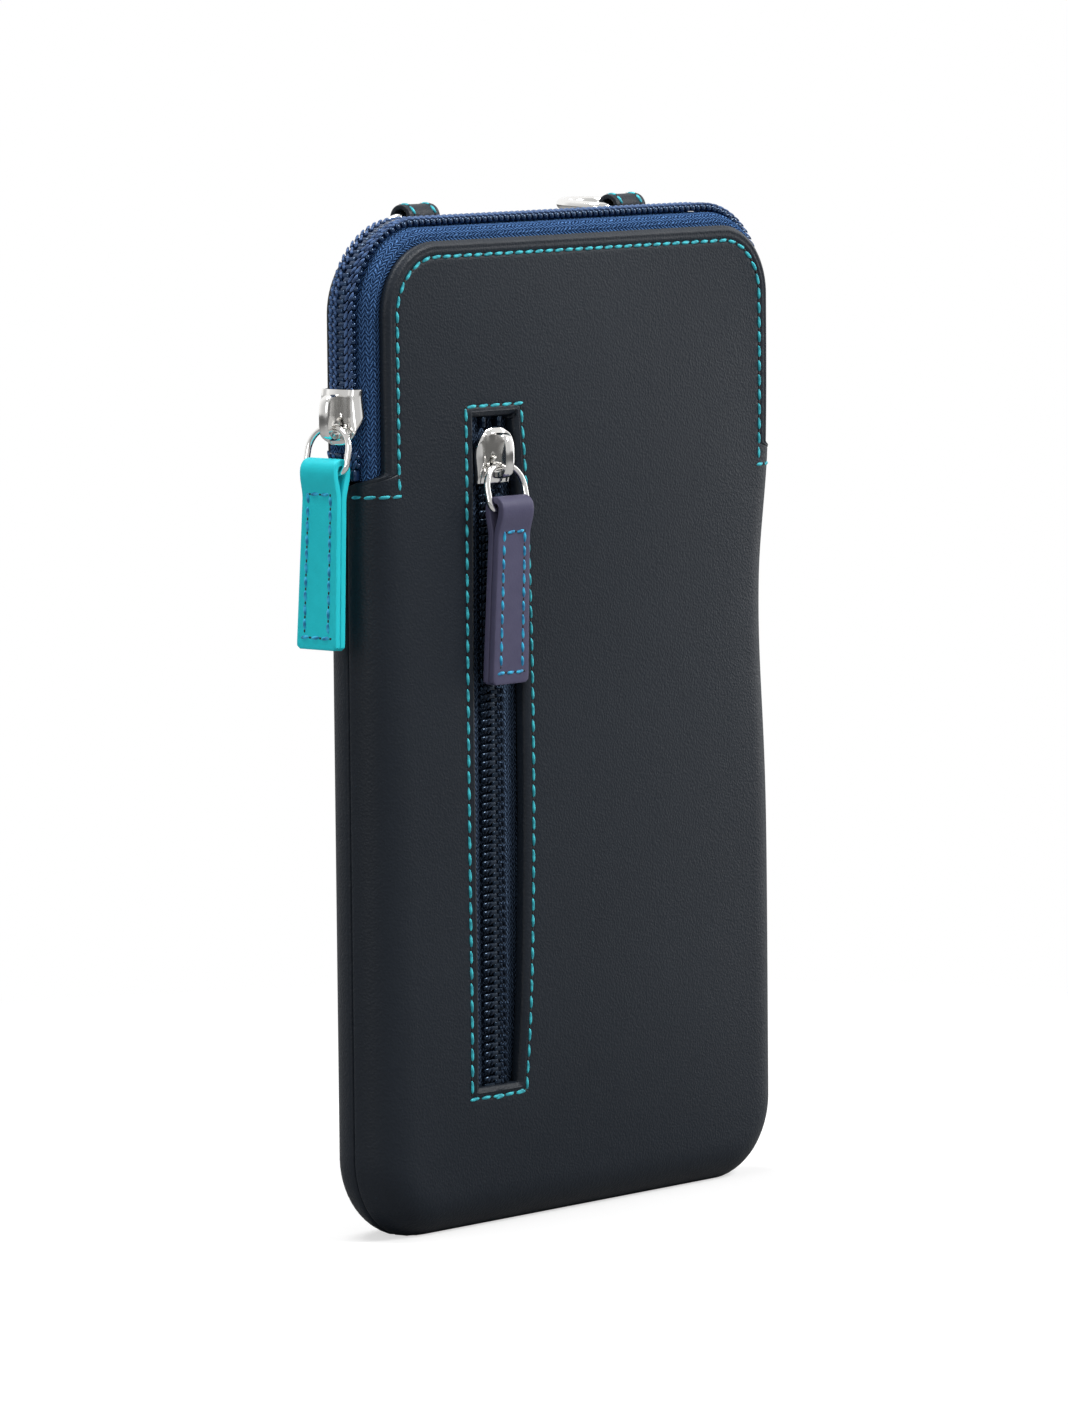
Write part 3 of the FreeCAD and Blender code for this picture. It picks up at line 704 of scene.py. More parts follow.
def cut_slot(piece):
    """Cut the pocket slot and turn its edges under."""
    half = SLOT_HALF + SLOT_LIP
    low, high = SLOT_BOTTOM - SLOT_LIP, SLOT_TOP + SLOT_LIP
    room = 6
    bow_start, bow_fade = half + 2, 5
    crease, fold_reach = 0.05, 4
    flap = 1.6
    slack = 0.06
    near = 0.3

    def inside(face, margin):
        across = abs(face.center.x / MM - SLOT_CENTRE)
        return across < half + margin and low - margin < face.center.z / MM < high + margin

    cuts = []
    for row in SLOT_ROWS:
        cuts.append(((SLOT_CENTRE - half - row, 0, 0), (1, 0, 0)))
        cuts.append(((SLOT_CENTRE + half + row, 0, 0), (1, 0, 0)))
        cuts.append(((0, 0, low - row), (0, 0, 1)))
        cuts.append(((0, 0, high + row), (0, 0, 1)))
    for point, normal in cuts:
        pick(piece, "polygons", lambda face: inside(face, room))
        bpy.ops.mesh.bisect(plane_co=Vector(point) * MM, plane_no=normal)
    pick(piece, "polygons", lambda face: inside(face, 0))
    bpy.ops.mesh.delete(type="FACE")
    object_mode()
    for vertex in piece.data.vertices:
        off = vertex.co.x / MM - SLOT_CENTRE
        z = vertex.co.z / MM
        bow = slot_half(z, off) - SLOT_HALF
        away = max(0.0, abs(off) - bow_start)
        vertex.co.x += math.copysign(bow, off) * bell(away, bow_fade) * MM
    for vertex in piece.data.vertices:
        away = slot_distance(vertex.co.x / MM, vertex.co.z / MM)
        if -crease < away < fold_reach:
            vertex.co.y -= turned_edge(away, SLOT_SEWN) * MM

    uses = {}
    for face in piece.data.polygons:
        for key in face.edge_keys:
            uses[key] = uses.get(key, 0) + 1

    def on_edge(edge):
        ends = [piece.data.vertices[index].co / MM for index in edge.vertices]
        return uses[edge.key] == 1 and all(abs(slot_distance(end.x, end.z)) < near for end in ends)

    pick(piece, "edges", on_edge)
    turns = [math.radians(angle) for angle in (0, 30, 60, 90)]
    steps = [(math.sin(b) - math.sin(a), math.cos(a) - math.cos(b)) for a, b in zip(turns, turns[1:])]
    gone = 0.0
    for inward, down in steps + [(0.0, flap)]:
        bpy.ops.mesh.extrude_region()
        object_mode()
        for vertex in piece.data.vertices:
            if vertex.select:
                off = vertex.co.x / MM - SLOT_CENTRE
                z = vertex.co.z / MM
                if abs(off) > slot_half(z, off) + SLOT_LIP * (1 - gone) - slack:
                    vertex.co.x -= math.copysign(inward * SLOT_LIP, off) * MM
                if z < low + SLOT_LIP * gone + slack:
                    vertex.co.z += inward * SLOT_LIP * MM
                if z > high - SLOT_LIP * gone - slack:
                    vertex.co.z -= inward * SLOT_LIP * MM
                vertex.co.y += down * SLOT_LIP * MM
        gone += inward
        bpy.ops.object.mode_set(mode="EDIT")
    object_mode()


front_panel = panel("front_panel_leather", -1)
cut_slot(front_panel)
finish_panel(front_panel, "front_panel")
back_panel = panel("back_panel_leather", 1)
finish_panel(back_panel, "back_panel")


# The zip tapes


def chain_place(distance, start):
    """Point, direction and outward normal on the main zip's path, from a height on the left."""
    radius = TOP_CORNER - TAPE_INSET
    corner = HEIGHT - TOP_CORNER
    rise = corner - start
    middle = rise + radius * math.pi / 2 + TOP_RUN
    gone = middle - abs(distance - middle)
    if gone < rise:
        point, out = Vector((TAPE_INSET - HALF_WIDTH, 0, start + gone)), Vector((-1, 0, 0))
    elif gone < middle - TOP_RUN:
        angle = math.pi - (gone - rise) / radius
        out = Vector((math.cos(angle), 0, math.sin(angle)))
        point = Vector((-TOP_RUN, 0, corner)) + out * radius
    else:
        point, out = Vector((gone - middle, 0, HEIGHT - TAPE_INSET)), Vector((0, 0, 1))
    if distance > middle:
        point.x, out.x = -point.x, -out.x
    return point, Vector((out.z, 0, -out.x)), out


TAPE_FOOT = NOTCH + 0.2
TAPE_LENGTH = 2 * (HEIGHT - TOP_CORNER - TAPE_FOOT + TOP_RUN) + (TOP_CORNER - TAPE_INSET) * math.pi
TAPE_SPAN = 10.8
POCKET_TAPE_OVERLAP = 3.5
POCKET_TAPE_LENGTH = SLOT_TOP - SLOT_BOTTOM + 2 * POCKET_TAPE_OVERLAP
POCKET_TAPE_WIDTH = 6.8
MAIN_KNIT = knitted_tape(
    "main_tape_knit", TAPE_LENGTH, TAPE_SPAN, (0.009, 0.022, 0.062), (0.105, 0.232, 0.510)
)
# Greyer and darker than the main tape: partly its own colour, partly painted shade of the slot.
POCKET_KNIT = knitted_tape(
    "pocket_tape_knit", POCKET_TAPE_LENGTH, POCKET_TAPE_WIDTH, (0.013, 0.022, 0.040), (0.118, 0.178, 0.285)
)


def tape_section(across):
    """Depth and drop of the main tape at a length across it from the chain."""
    flat = TAPE_DEPTH - TAPE_ROUND - TAPE_GAP
    quarter = TAPE_ROUND * math.pi / 2
    if across < flat:
        return TAPE_GAP + across, 0.0
    if across < flat + quarter:
        angle = (across - flat) / TAPE_ROUND
        return TAPE_DEPTH - TAPE_ROUND + TAPE_ROUND * math.sin(angle), TAPE_ROUND * (1 - math.cos(angle))
    return TAPE_DEPTH, TAPE_ROUND + across - flat - quarter


def main_tape(name, side):
    """One side of the main tape, from the chain over its bend and into the pouch."""
    columns, rows = 240, 22

    def place(column, row):
        origin, _, out = chain_place(TAPE_LENGTH * column / columns, TAPE_FOOT)
        depth, drop = tape_section(TAPE_SPAN * row / rows)
        return origin + Vector((0, side * depth, 0)) - out * drop

    piece = slab(name, columns, rows, place, TAPE)
    soften(piece, 60)
    return piece


def pocket_tape(name, side):
    """One side of the pocket's tape, flat behind the slot."""
    columns, rows = 60, 12

    def place(column, row):
        z = SLOT_BOTTOM - POCKET_TAPE_OVERLAP + POCKET_TAPE_LENGTH * column / columns
        across = TAPE_GAP + POCKET_TAPE_WIDTH * row / rows
        return Vector((SLOT_CENTRE + side * across, -POCKET_FACE, z))

    piece = slab(name, columns, rows, place, TAPE, -side)
    mend(piece)
    soften(piece, 60)
    return piece


for side, word in ((-1, "front"), (1, "back")):
    tape = main_tape(f"main_{word}_tape_knit", side)
    dress(tape, "pouch", "zip_tape", MAIN_KNIT, f"main_zip_{word}_tape")
for side, word in ((-1, "left"), (1, "right")):
    tape = pocket_tape(f"pocket_{word}_tape_knit", side)
    dress(tape, "pouch", "zip_tape", POCKET_KNIT, f"pocket_zip_{word}_tape")


# The zip coils

COIL_START = 148.0
COIL_LENGTH = 168.4
LOOSE_COIL = NOTCH + 2.2
POCKET_COIL_TOP = 138.9
POCKET_TURNS = 75
TURN_SIZE = (1.12, 3.5, 1.30)
TURN_OFFSET = 1.25
TURN_LIFT = 0.92
TURN_ROUND = 0.36
TAIL_START = 1.5
TAIL_WIDTH = 0.85
TAIL_HEIGHT = 0.86
THREAD_ROWS = (1.35, 2.35)
THREAD_HEIGHT = 0.54
THREAD_SHIFT = 0.1
THREAD_LIFT = 1.50
THREAD_LEAN = 0.42
LOOSE_TURNS = 2


def coil_turn(side):
    """One turn of a coil: a bar whose head meets the other side's turns, with a narrower tail."""
    bpy.ops.mesh.primitive_cube_add(size=1)
    piece = stretched("coil_turn", TURN_SIZE, (0, side * TURN_OFFSET, TURN_LIFT))
    for vertex in piece.data.vertices:
        if vertex.co.y * side > TAIL_START * MM:
            vertex.co.x *= TAIL_WIDTH
            vertex.co.z *= TAIL_HEIGHT
    modify(piece, "BEVEL", width=TURN_ROUND * MM, segments=2, limit_method="NONE")
    return piece


def coil_stitch(side, across, length, width):
    """One thread loop that holds a turn of a coil down."""
    bpy.ops.mesh.primitive_uv_sphere_add(segments=8, ring_count=5, radius=0.5)
    place = (THREAD_SHIFT, side * across, THREAD_LIFT)
    return stretched("coil_stitch", (length, width, THREAD_HEIGHT), place, side * THREAD_LEAN)


def coil_pieces(name, side, places, node, wire, sewn, loop):
    """A coil's turns and the two rows of thread that hold it."""
    turns = copies(f"{name}_turns", coil_turn(side), places)
    dress(turns, "pouch", "zip_coil", wire, node)
    for across in THREAD_ROWS:
        row = copies(f"{name}_thread_{round(across)}", coil_stitch(side, across, *loop), places)
        dress(row, "pouch", "zip_tape", sewn)


def main_places(side):
    """Turns of one side of the main chain, and the loose ones below its slider."""
    shift = 0.5 if side < 0 else 1.0
    places = []
    for index in range(int(COIL_LENGTH / PITCH)):
        origin, along, _ = chain_place((index + shift) * PITCH, COIL_START)
        places.append(axes(origin, along, (0, 1, 0)))
    for index in range(LOOSE_TURNS):
        height = LOOSE_COIL + (index + 0.5) * PITCH
        origin = Vector((TAPE_INSET - HALF_WIDTH, side * TAPE_GAP, height))
        places.append(axes(origin, (0, 0, 1), (0, 1, 0)))
    return places


def pocket_places(side):
    """Turns of one side of the pocket's chain, from its slider down."""
    shift = 0.5 if side < 0 else 1.0
    heights = [POCKET_COIL_TOP - (index + shift) * PITCH for index in range(POCKET_TURNS)]
    return [axes((SLOT_CENTRE, -POCKET_FACE, height), (0, 0, -1), (1, 0, 0)) for height in heights]


for word, sides, places, wire, sewn, loop in (
    ("main", ("front", "back"), main_places, MAIN_PLASTIC, BLUE_THREAD, (2.0, 0.62)),
    ("pocket", ("left", "right"), pocket_places, POCKET_PLASTIC, DARK_THREAD, (1.25, 0.42)),
):
    for side, part in zip((-1, 1), sides):
        node = f"{word}_zip_{part}_coil"
        coil_pieces(f"{word}_{part}_coil", side, places(side), node, wire, sewn, loop)


# The end stops

STOP_SINKS = (SLOT_BOTTOM + 14, SLOT_BOTTOM + 4)
STOP_DROP = 1.6
STOP_TUCK = 0.5


def eased_stops(name, node, finish):
    """A zip's stops from the solids, their edges rounded off and the lowest sunk under the leather."""
    piece = bpy.data.objects.new(name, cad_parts[node].data.copy())
    bpy.context.collection.objects.link(piece)
    mend(piece, 0.002)
    edit_all(piece)
    bpy.ops.mesh.dissolve_limited(angle_limit=math.radians(4))
    object_mode()
    for vertex in piece.data.vertices:
        sunk = smooth(*STOP_SINKS, vertex.co.z / MM)
        vertex.co.z -= STOP_DROP * sunk * MM
        vertex.co.y += STOP_TUCK * sunk * MM
    bevel(piece, 0.25, 3, 35)
    soften(piece, 50)
    dress(piece, "pouch", "zip_coil", finish, node)


eased_stops("main_end_stops_plastic", "main_zip_end_stops", MAIN_PLASTIC)
eased_stops("pocket_end_stops_plastic", "pocket_zip_end_stops", POCKET_PLASTIC)


# The sliders

SLIDER_END = 4.9
SLIDER_TOP = 2.9
SLIDER_PLATE = 0.62
SLIDER_SQUARENESS = 0.45
END_START = 3.9
END_DROP = 0.16
DISH = 0.24
DISH_OFFSET = 2.5
DISH_REACH = 0.6
SHOULDER = -1.2
SHOULDER_HALF = 4.7
REAR_TAPER = 0.4
REAR_TAPER_END = 4.0
NOSE_HALF = 1.4
NOSE_POWERS = (2.2, 0.7)
NOSE_FLANGE = 0.22
REAR_FLANGE = 2.1
FLANGE_CHANGE = (-2.6, 0.2)
UNDER_SIZE = (9.2, 6.6, 0.85)
UNDER_HEIGHT = -1.175
BRIDGE_HALF = 3.5
BRIDGE_FOOT = 2.4
BRIDGE_RISE = 3.25
BRIDGE_SPREAD = 0.5
BRIDGE_DOME = 0.35
BRIDGE_CREST = 0.15
BRIDGE_SHUTS = (-0.12, 0.1)
BRIDGE_TOP = [(1.10, 0.28), (0.82, 0.55), (0.40, 0.62)]
BRIDGE_UNDER = [(-1.10, -0.55), (1.10, -0.55)]
BRIDGE_SECTION = BRIDGE_TOP + [(-across, rise) for across, rise in reversed(BRIDGE_TOP)] + BRIDGE_UNDER


def power(value, exponent):
    return math.copysign(abs(value) ** exponent, value)


def slider_half_width(x):
    """Half the width of a slider's plate, square at its rear and round at its nose."""
    if x > SHOULDER:
        return SHOULDER_HALF - REAR_TAPER * smooth(SHOULDER, REAR_TAPER_END, x)
    share = min(1.0, (SHOULDER - x) / (SLIDER_END + SHOULDER))
    inner, outer = NOSE_POWERS
    return NOSE_HALF + (SHOULDER_HALF - NOSE_HALF) * (1 - share**inner) ** outer


def slider_plate(name):
    """Top plate, its sides turned down into flanges over the rear half."""
    columns, rows = 36, 32

    def point(column, row):
        x = SLIDER_END * (2 * column / columns - 1)
        turn = (2 * row / rows - 1) * math.pi / 2
        across = slider_half_width(x) * power(math.sin(turn), SLIDER_SQUARENESS)
        flange = NOSE_FLANGE + REAR_FLANGE * smooth(*FLANGE_CHANGE, x)
        top = SLIDER_TOP - END_DROP * smooth(END_START, SLIDER_END, abs(x))
        dish = DISH * bell(abs(across) - DISH_OFFSET, DISH_REACH)
        fall = flange * (1 - power(max(0.0, math.cos(turn)), SLIDER_SQUARENESS))
        return Vector((x, across, top - dish - fall))

    piece = slab(name, columns, rows, point, SLIDER_PLATE)
    bevel(piece, 0.16)
    return piece


def bridge_line(share):
    """Length and height on the middle of the bridge, from -1 at its nose end to 1 at its rear."""
    turn = share * math.pi / 2
    along = power(math.sin(turn), BRIDGE_SPREAD)
    dome = max(0.0, math.cos(turn)) ** BRIDGE_DOME
    height = BRIDGE_FOOT + BRIDGE_RISE * dome + BRIDGE_CREST * (1 - along * along)
    return Vector((BRIDGE_HALF * along, 0, height))


def slider_bridge(name, shut):
    """Domed bar over the plate, open for the pull ring at one end and shut at the other."""
    columns, rows = 48, len(BRIDGE_SECTION)

    def point(column, row):
        share = 2 * column / columns - 1
        ahead, back = bridge_line(min(1.0, share + 0.01)), bridge_line(max(-1.0, share - 0.01))
        along = (ahead - back).normalized()
        out = Vector((-along.z, 0, along.x))
        across, rise = BRIDGE_SECTION[row % rows]
        spot = bridge_line(share) + out * rise + Vector((0, across, 0))
        if rise < 0:
            spot.z += (BRIDGE_FOOT - spot.z) * smooth(*BRIDGE_SHUTS, share * shut)
        return spot

    piece = sheet(name, columns, rows, point)
    mend(piece, 0.002)
    edit_all(piece)
    bpy.ops.mesh.fill_holes(sides=rows)
    mend(piece)
    return piece


def under_plate(name):
    """Plate behind the tape, with its edges eased."""
    bpy.ops.mesh.primitive_cube_add(size=1)
    piece = stretched(name, UNDER_SIZE, (0, 0, UNDER_HEIGHT))
    modify(piece, "BEVEL", width=0.3 * MM, segments=3, limit_method="NONE")
    return piece


def cast_slider(node, place, shut):
    """Slider of two plates and the bridge, with clear room between the plates for the closed coils."""
    piece = slider_plate(f"{node}_nickel")
    others = [slider_bridge("bridge", shut), under_plate("under_plate")]
    work_on(piece)
    for other in others:
        other.select_set(True)
    bpy.ops.object.join()
    soften(piece, 38)
    piece.data.transform(place)
    dress(piece, node, "nickel", NICKEL, node)


cast_slider("main_slider", axes((TAPE_INSET - HALF_WIDTH, 0, MAIN_SLIDER), (0, 0, 1), (0, 1, 0)), 1)
cast_slider("pocket_slider", axes((SLOT_CENTRE, -POCKET_FACE, POCKET_SLIDER), (0, 0, -1), (1, 0, 0)), -1)


# Pull rings


def bent_wire(name, radius, moves):
    """Round wire in the XZ plane from the origin along X: runs by a length, bends by a radius and a turn."""
    bpy.ops.mesh.primitive_circle_add(vertices=16, radius=radius * MM, fill_type="NOTHING")
    piece = named(name)
    at = Vector((0, 0, 0))
    angle = 0.0
    piece.data.transform(axes(at, (0, 1, 0), (0, 0, 1)))
    edit_all(piece)
    for amount, turn in moves:
        along = Vector((math.cos(angle), 0, math.sin(angle)))
        if turn == 0:
            bpy.ops.mesh.extrude_region_move(TRANSFORM_OT_translate={"value": along * amount * MM})
            at += along * amount
        else:
            reach = math.copysign(amount, turn)
            centre = at + Vector((-along.z, 0, along.x)) * reach
            bpy.ops.mesh.spin(
                steps=max(4, round(abs(turn) / 9)),
                angle=math.radians(turn),
                center=centre * MM,
                axis=(0, 1, 0),
            )
            angle += math.radians(turn)
            at = centre + Vector((math.sin(angle), 0, -math.cos(angle))) * reach
    object_mode()
    mend(piece, 0.02)
    soften(piece, 60)
    return piece


def pull_frame(hinge, across):
    """Place of a pull: X along its hinge and Z up."""
    across = Vector(across)
    up = Vector((0, 0, 1))
    place = Matrix((across, up.cross(across), up)).transposed().to_4x4()
    place.translation = hinge * MM
    return place


def pull_ring(name, place):
    """Wire ring with a round bow, hung from its slider at a tilt."""
    half = [
        (RING_HALF - RING_BOW, 0),
        (RING_BOW, -90),
        (RING_LENGTH - RING_CORNER - RING_BOW, 0),
        (RING_CORNER, -90),
    ]
    ring = bent_wire(name, WIRE, half + [(2 * (RING_HALF - RING_CORNER), 0)] + half[::-1])
    ring.data.transform(place @ Matrix.Rotation(math.radians(RING_TILT), 4, "X"))
    return ring


MAIN_PULL = pull_frame(MAIN_HINGE, (0, 1, 0))
POCKET_PULL = pull_frame(POCKET_HINGE, (-1, 0, 0))
for place, word in ((MAIN_PULL, "main"), (POCKET_PULL, "pocket")):
    ring = pull_ring(f"{word}_pull_ring_wire", place)
    dress(ring, f"{word}_pull_ring", "nickel", NICKEL, f"{word}_pull_ring")


# The leather pull tabs

TAB_FOLD = 0.35
TAB_ROOM = 1.575
TAB_LEATHER = 1.26
TAB_END = -31.2
TAB_CORNER = 0.8
TAB_TOP_WIDTH = 8.2
TAB_END_WIDTH = 9.5
TAB_SLACK = 0.03
TAB_CLOSES = (0.2, 5.2)
TAB_BEND = TAB_ROOM * math.pi / 2


def tab_line(length):
    """Offset and height on the middle of the folded strip, from the fold's crest."""
    if length < TAB_BEND:
        angle = length / TAB_ROOM
        return TAB_ROOM * math.sin(angle), TAB_FOLD + TAB_ROOM * math.cos(angle)
    drop = length - TAB_BEND
    near = TAB_LEATHER / 2 + TAB_SLACK
    share = smooth(*TAB_CLOSES, drop)
    return TAB_ROOM + (near - TAB_ROOM) * share, TAB_FOLD - drop


def tab_width(height):
    """Width of a tab, broader towards its end."""
    share = (height - TAB_END) / (TAB_FOLD + TAB_ROOM - TAB_END)
    return TAB_END_WIDTH + (TAB_TOP_WIDTH - TAB_END_WIDTH) * share


def tab_place(hinge, tilt):
    """Place of a tab at the end of its tilted ring."""
    tilted = math.radians(RING_TILT)
    end = Vector((0, RING_LENGTH * math.sin(tilted), -RING_LENGTH * math.cos(tilted)))
    return hinge @ Matrix.Translation(end * MM) @ Matrix.Rotation(math.radians(tilt), 4, "X")


def pull_tab(name, place):
    """Strip of leather folded over the ring, its two layers sewn flat together."""
    columns, rows = 10, 120
    half_length = TAB_BEND + TAB_FOLD - TAB_END

    def point(column, row):
        length = (row / rows * 2 - 1) * half_length
        out, height = tab_line(abs(length))
        across = (column / columns - 0.5) * tab_width(height)
        round_end = max(0.0, TAB_CORNER - (height - TAB_END))
        limit = tab_width(height) / 2 - TAB_CORNER + math.sqrt(max(0.0, TAB_CORNER**2 - round_end**2))
        across = max(-limit, min(limit, across))
        return Vector((across, math.copysign(out, length), height))

    piece = slab(name, columns, rows, point, TAB_LEATHER, 0.0)
    bevel(piece, 0.22)
    soften(piece, 45)
    piece.data.transform(place)
    return piece


MAIN_TAB = tab_place(MAIN_PULL, 3.0)
POCKET_TAB = tab_place(POCKET_PULL, -2.5)
for place, word, slot, finish in (
    (MAIN_TAB, "main", "teal_leather", TEAL_LEATHER),
    (POCKET_TAB, "pocket", "purple_leather", PURPLE_LEATHER),
):
    tab = pull_tab(f"{word}_pull_tab_leather", place)
    dress(tab, f"{word}_pull_tab", slot, finish, f"{word}_pull_tab")


# Stitching

STITCH_SHARE = 0.80
STITCH_BLUNTNESS = 0.8
STITCH_WIDTH = 0.64
STITCH_HEIGHT = 0.58
STITCH_SLANT = 0.10
STITCH_SINK = 0.08
HOLE_SIZE = (0.62, 0.42, 0.10)
SEAM_START = 1.2
SEAM_DROP = 2.7
SLOT_SEAM = 2.0
TAB_SEAM = [(-2.7, -3.8), (2.7, -3.8), (2.85, -29.1), (-2.85, -29.1)]


def stitch(length):
    """One stitch of thread, thicker in its middle and sunk at its ends."""
    bpy.ops.mesh.primitive_uv_sphere_add(segments=10, ring_count=8, radius=0.5)
    piece = named("stitch")
    piece.rotation_euler = (0, math.pi / 2, 0)
    bpy.ops.object.transform_apply(location=False, rotation=True, scale=False)
    for vertex in piece.data.vertices:
        along = vertex.co.x * 2
        vertex.co.x = power(along, STITCH_BLUNTNESS) / 2 * length * MM
        vertex.co.y = (vertex.co.y * STITCH_WIDTH + along * STITCH_SLANT) * MM
        vertex.co.z = (vertex.co.z * STITCH_HEIGHT - STITCH_SINK * along * along) * MM
    return piece


def needle_hole_shade(length):
    """A flat near-black mark between two stitches, painted shade where the thread goes down into its hole.
    """
    bpy.ops.mesh.primitive_uv_sphere_add(segments=8, ring_count=6, radius=0.5)
    return stretched("needle_hole_shade", HOLE_SIZE, (length / 2, 0, 0))


def seam(name, points, normals, pitch, body, finish=TURQUOISE):
    """A line of stitches on a surface, with painted shade at the needle holes between them."""
    places = walk(points, normals, pitch)
    sewn = copies(name, stitch(pitch * STITCH_SHARE), places)
    dress(sewn, body, "dark_leather", finish)
    # Painted shade: a near-black mark at each needle hole.
    hole_shades = copies(f"{name}_dents", needle_hole_shade(pitch), places)
    dress(hole_shades, body, "dark_leather", NEEDLE_HOLE_SHADE)


def panel_seam(side):
    """Points and normals of the stitching beside the zip, from one side seam round to the other."""
    right = wall_distance(NOTCH - SEAM_DROP)
    sewn = edge_length(HEIGHT) + LIP + SEWN
    leg = [SEAM_START + (sewn - SEAM_START) * step / 11 for step in range(12)]
    steps = 320
    path = [(right, length) for length in leg]
    path += [(right + (ROUND - 2 * right) * step / steps, sewn) for step in range(steps + 1)]
    path += [(ROUND - right, length) for length in reversed(leg)]
    return zip(*[panel_place(distance, length, side) for distance, length in path])


for side, word in ((-1, "front"), (1, "back")):
    points, normals = panel_seam(side)
    seam(f"{word}_panel_stitches", points, normals, PANEL_PITCH, "pouch")


def slot_seam():
    """Points round the pocket slot, outside its turned edge."""
    low, high = SLOT_BOTTOM - SLOT_SEAM, SLOT_TOP + SLOT_SEAM
    heights = [low + (high - low) * step / 40 for step in range(41)]
    points = [(SLOT_CENTRE + slot_half(z, 1) + SLOT_SEAM, z) for z in heights]
    points += [(SLOT_CENTRE - slot_half(z, -1) - SLOT_SEAM, z) for z in reversed(heights)]
    return [Vector((x, -HALF_DEPTH - crown(x, z), z)) for x, z in points + points[:1]]


line = slot_seam()
forward = Vector((0, -1, 0))
seam("pocket_slot_stitches", line, [forward] * len(line), SLOT_PITCH, "pouch")
backstitched = [line[-2].lerp(line[0], 0.42) + Vector((0, 0, -0.35)), line[0] + Vector((-0.4, 0, 0.35))]
seam("pocket_slot_backstitches", backstitched, [forward] * 2, BACKSTITCH_PITCH, "pouch")


def tab_seam(place, face):
    """Points and normals of the stitched rectangle on one face of a pull tab."""
    points = []
    for (x, z), (end_x, end_z) in zip(TAB_SEAM, TAB_SEAM[1:] + TAB_SEAM[:1]):
        for step in range(20):
            share = step / 20
            height = z + (end_z - z) * share
            out = tab_line(TAB_BEND + TAB_FOLD - height)[0] + TAB_LEATHER / 2
            points.append(Vector((x + (end_x - x) * share, face * out, height)))
    points.append(points[0])
    turned = place.to_3x3()
    return [(place @ (point * MM)) / MM for point in points], [turned @ Vector((0, face, 0))] * len(points)


for place, word in ((MAIN_TAB, "main"), (POCKET_TAB, "pocket")):
    for face, part in ((1, "outer"), (-1, "inner")):
        points, normals = tab_seam(place, face)
        seam(f"{word}_tab_{part}_stitches", points, normals, TAB_PITCH, f"{word}_pull_tab", TAB_THREAD)


# Strap loops and rings


def strap_line(length, lift=0.0):
    """Depth and height on the middle of a strap loop, from the foot of its stem, and which way is out."""
    if length < STRAP_STEM:
        return Vector((0, -lift - STRAP_ROUND, length - STRAP_STEM)), Vector((0, -1, 0))
    bend = (length - STRAP_STEM) / STRAP_ROUND
    if bend < STRAP_TURN:
        out = Vector((0, -math.cos(bend), math.sin(bend)))
        return out * (STRAP_ROUND + lift), out
    rest = (bend - STRAP_TURN) * STRAP_ROUND
    depth, drop = STRAP_TUCK * smooth(0, STRAP_TAIL, rest), STRAP_LAY * rest
    return Vector((0, -depth, -STRAP_ROUND - lift - drop)), Vector((0, 1, 0))


def strap_loop(name, x):
    """Strap round the eye of a ring, its stem sewn in behind the zip."""
    columns, rows = 8, 48
    whole = STRAP_STEM + STRAP_ROUND * STRAP_TURN + STRAP_TAIL

    def point(column, row):
        across = x + STRAP_WIDTH * (column / columns - 0.5)
        return STRAP_EYE + strap_line(whole * row / rows)[0] + Vector((across, 0, 0))

    piece = slab(name, columns, rows, point, STRAP_LEATHER, 0.0)
    bevel(piece, 0.15)
    soften(piece, 50)
    return piece


def strap_seam(name, x):
    """Two lines of stitches over a strap loop."""
    below, over = 6, 1.2
    start, whole = STRAP_STEM - below, below + STRAP_ROUND * over * math.pi
    inset, lift = 1.3, 0.36
    for edge, word in ((-1, "left"), (1, "right")):
        points, normals = [], []
        for step in range(41):
            point, out = strap_line(start + whole * step / 40, lift)
            points.append(STRAP_EYE + point + Vector((x + edge * (STRAP_WIDTH / 2 - inset), 0, 0)))
            normals.append(out)
        seam(f"{name}_{word}_stitches", points, normals, STRAP_PITCH, "pouch")


def strap_ring(name, x, angle):
    """Wire ring with a straight bar in the loop's eye and a round bow."""
    half, corner, reach, wire = 5.9, 2.4, 12.7, 1.06
    moves = [(half - corner, 0), (corner, 90), (reach - half - corner, 0)]
    ring = bent_wire(name, wire, moves + [(half, 180)] + moves[::-1])
    place = Matrix.Translation((STRAP_EYE + Vector((x, 0, 0))) * MM)
    ring.data.transform(place @ Matrix.Rotation(math.radians(angle - 90), 4, "X"))
    return ring


for x, word, angle in ((-STRAP_SPACING, "left", -40.0), (STRAP_SPACING, "right", 3.0)):
    loop = strap_loop(f"{word}_strap_loop_leather", x)
    dress(loop, "pouch", "dark_leather", DARK_LEATHER, f"{word}_strap_loop")
    strap_seam(f"{word}_strap_loop", x)
    ring = strap_ring(f"{word}_strap_ring_wire", x, angle)
    dress(ring, f"{word}_strap_ring", "nickel", NICKEL, f"{word}_strap_ring")


# Linings and the pocket's bag

LINING = 0.3
LINING_DEPTH = 4.6
LINING_ROOM = (-48, 48, 12, 170)
BAG_DEPTH = 5.1
BAG_ROOM = (-42, 30, 20.0, 152.3)


def lining(name, node, behind, depth, left, right, low, high, wave):
    """Thin cloth with a slight ripple, hung inside the pouch."""
    columns, rows = 40, 60

    def point(column, row):
        x = left + (right - left) * column / columns
        z = low + (high - low) * row / rows
        edge = min(column, columns - column, row, rows - row) / 6
        ripple = wave * min(1.0, edge) * math.sin(x * 0.21 + z * 0.05) * math.cos(z * 0.09 - x * 0.04)
        return Vector((x, depth + ripple, z))

    piece = slab(name, columns, rows, point, LINING, 0.0)
    soften(piece, 60)
    dress(piece, "pouch", "lining_cloth", LINING_CLOTH, node)


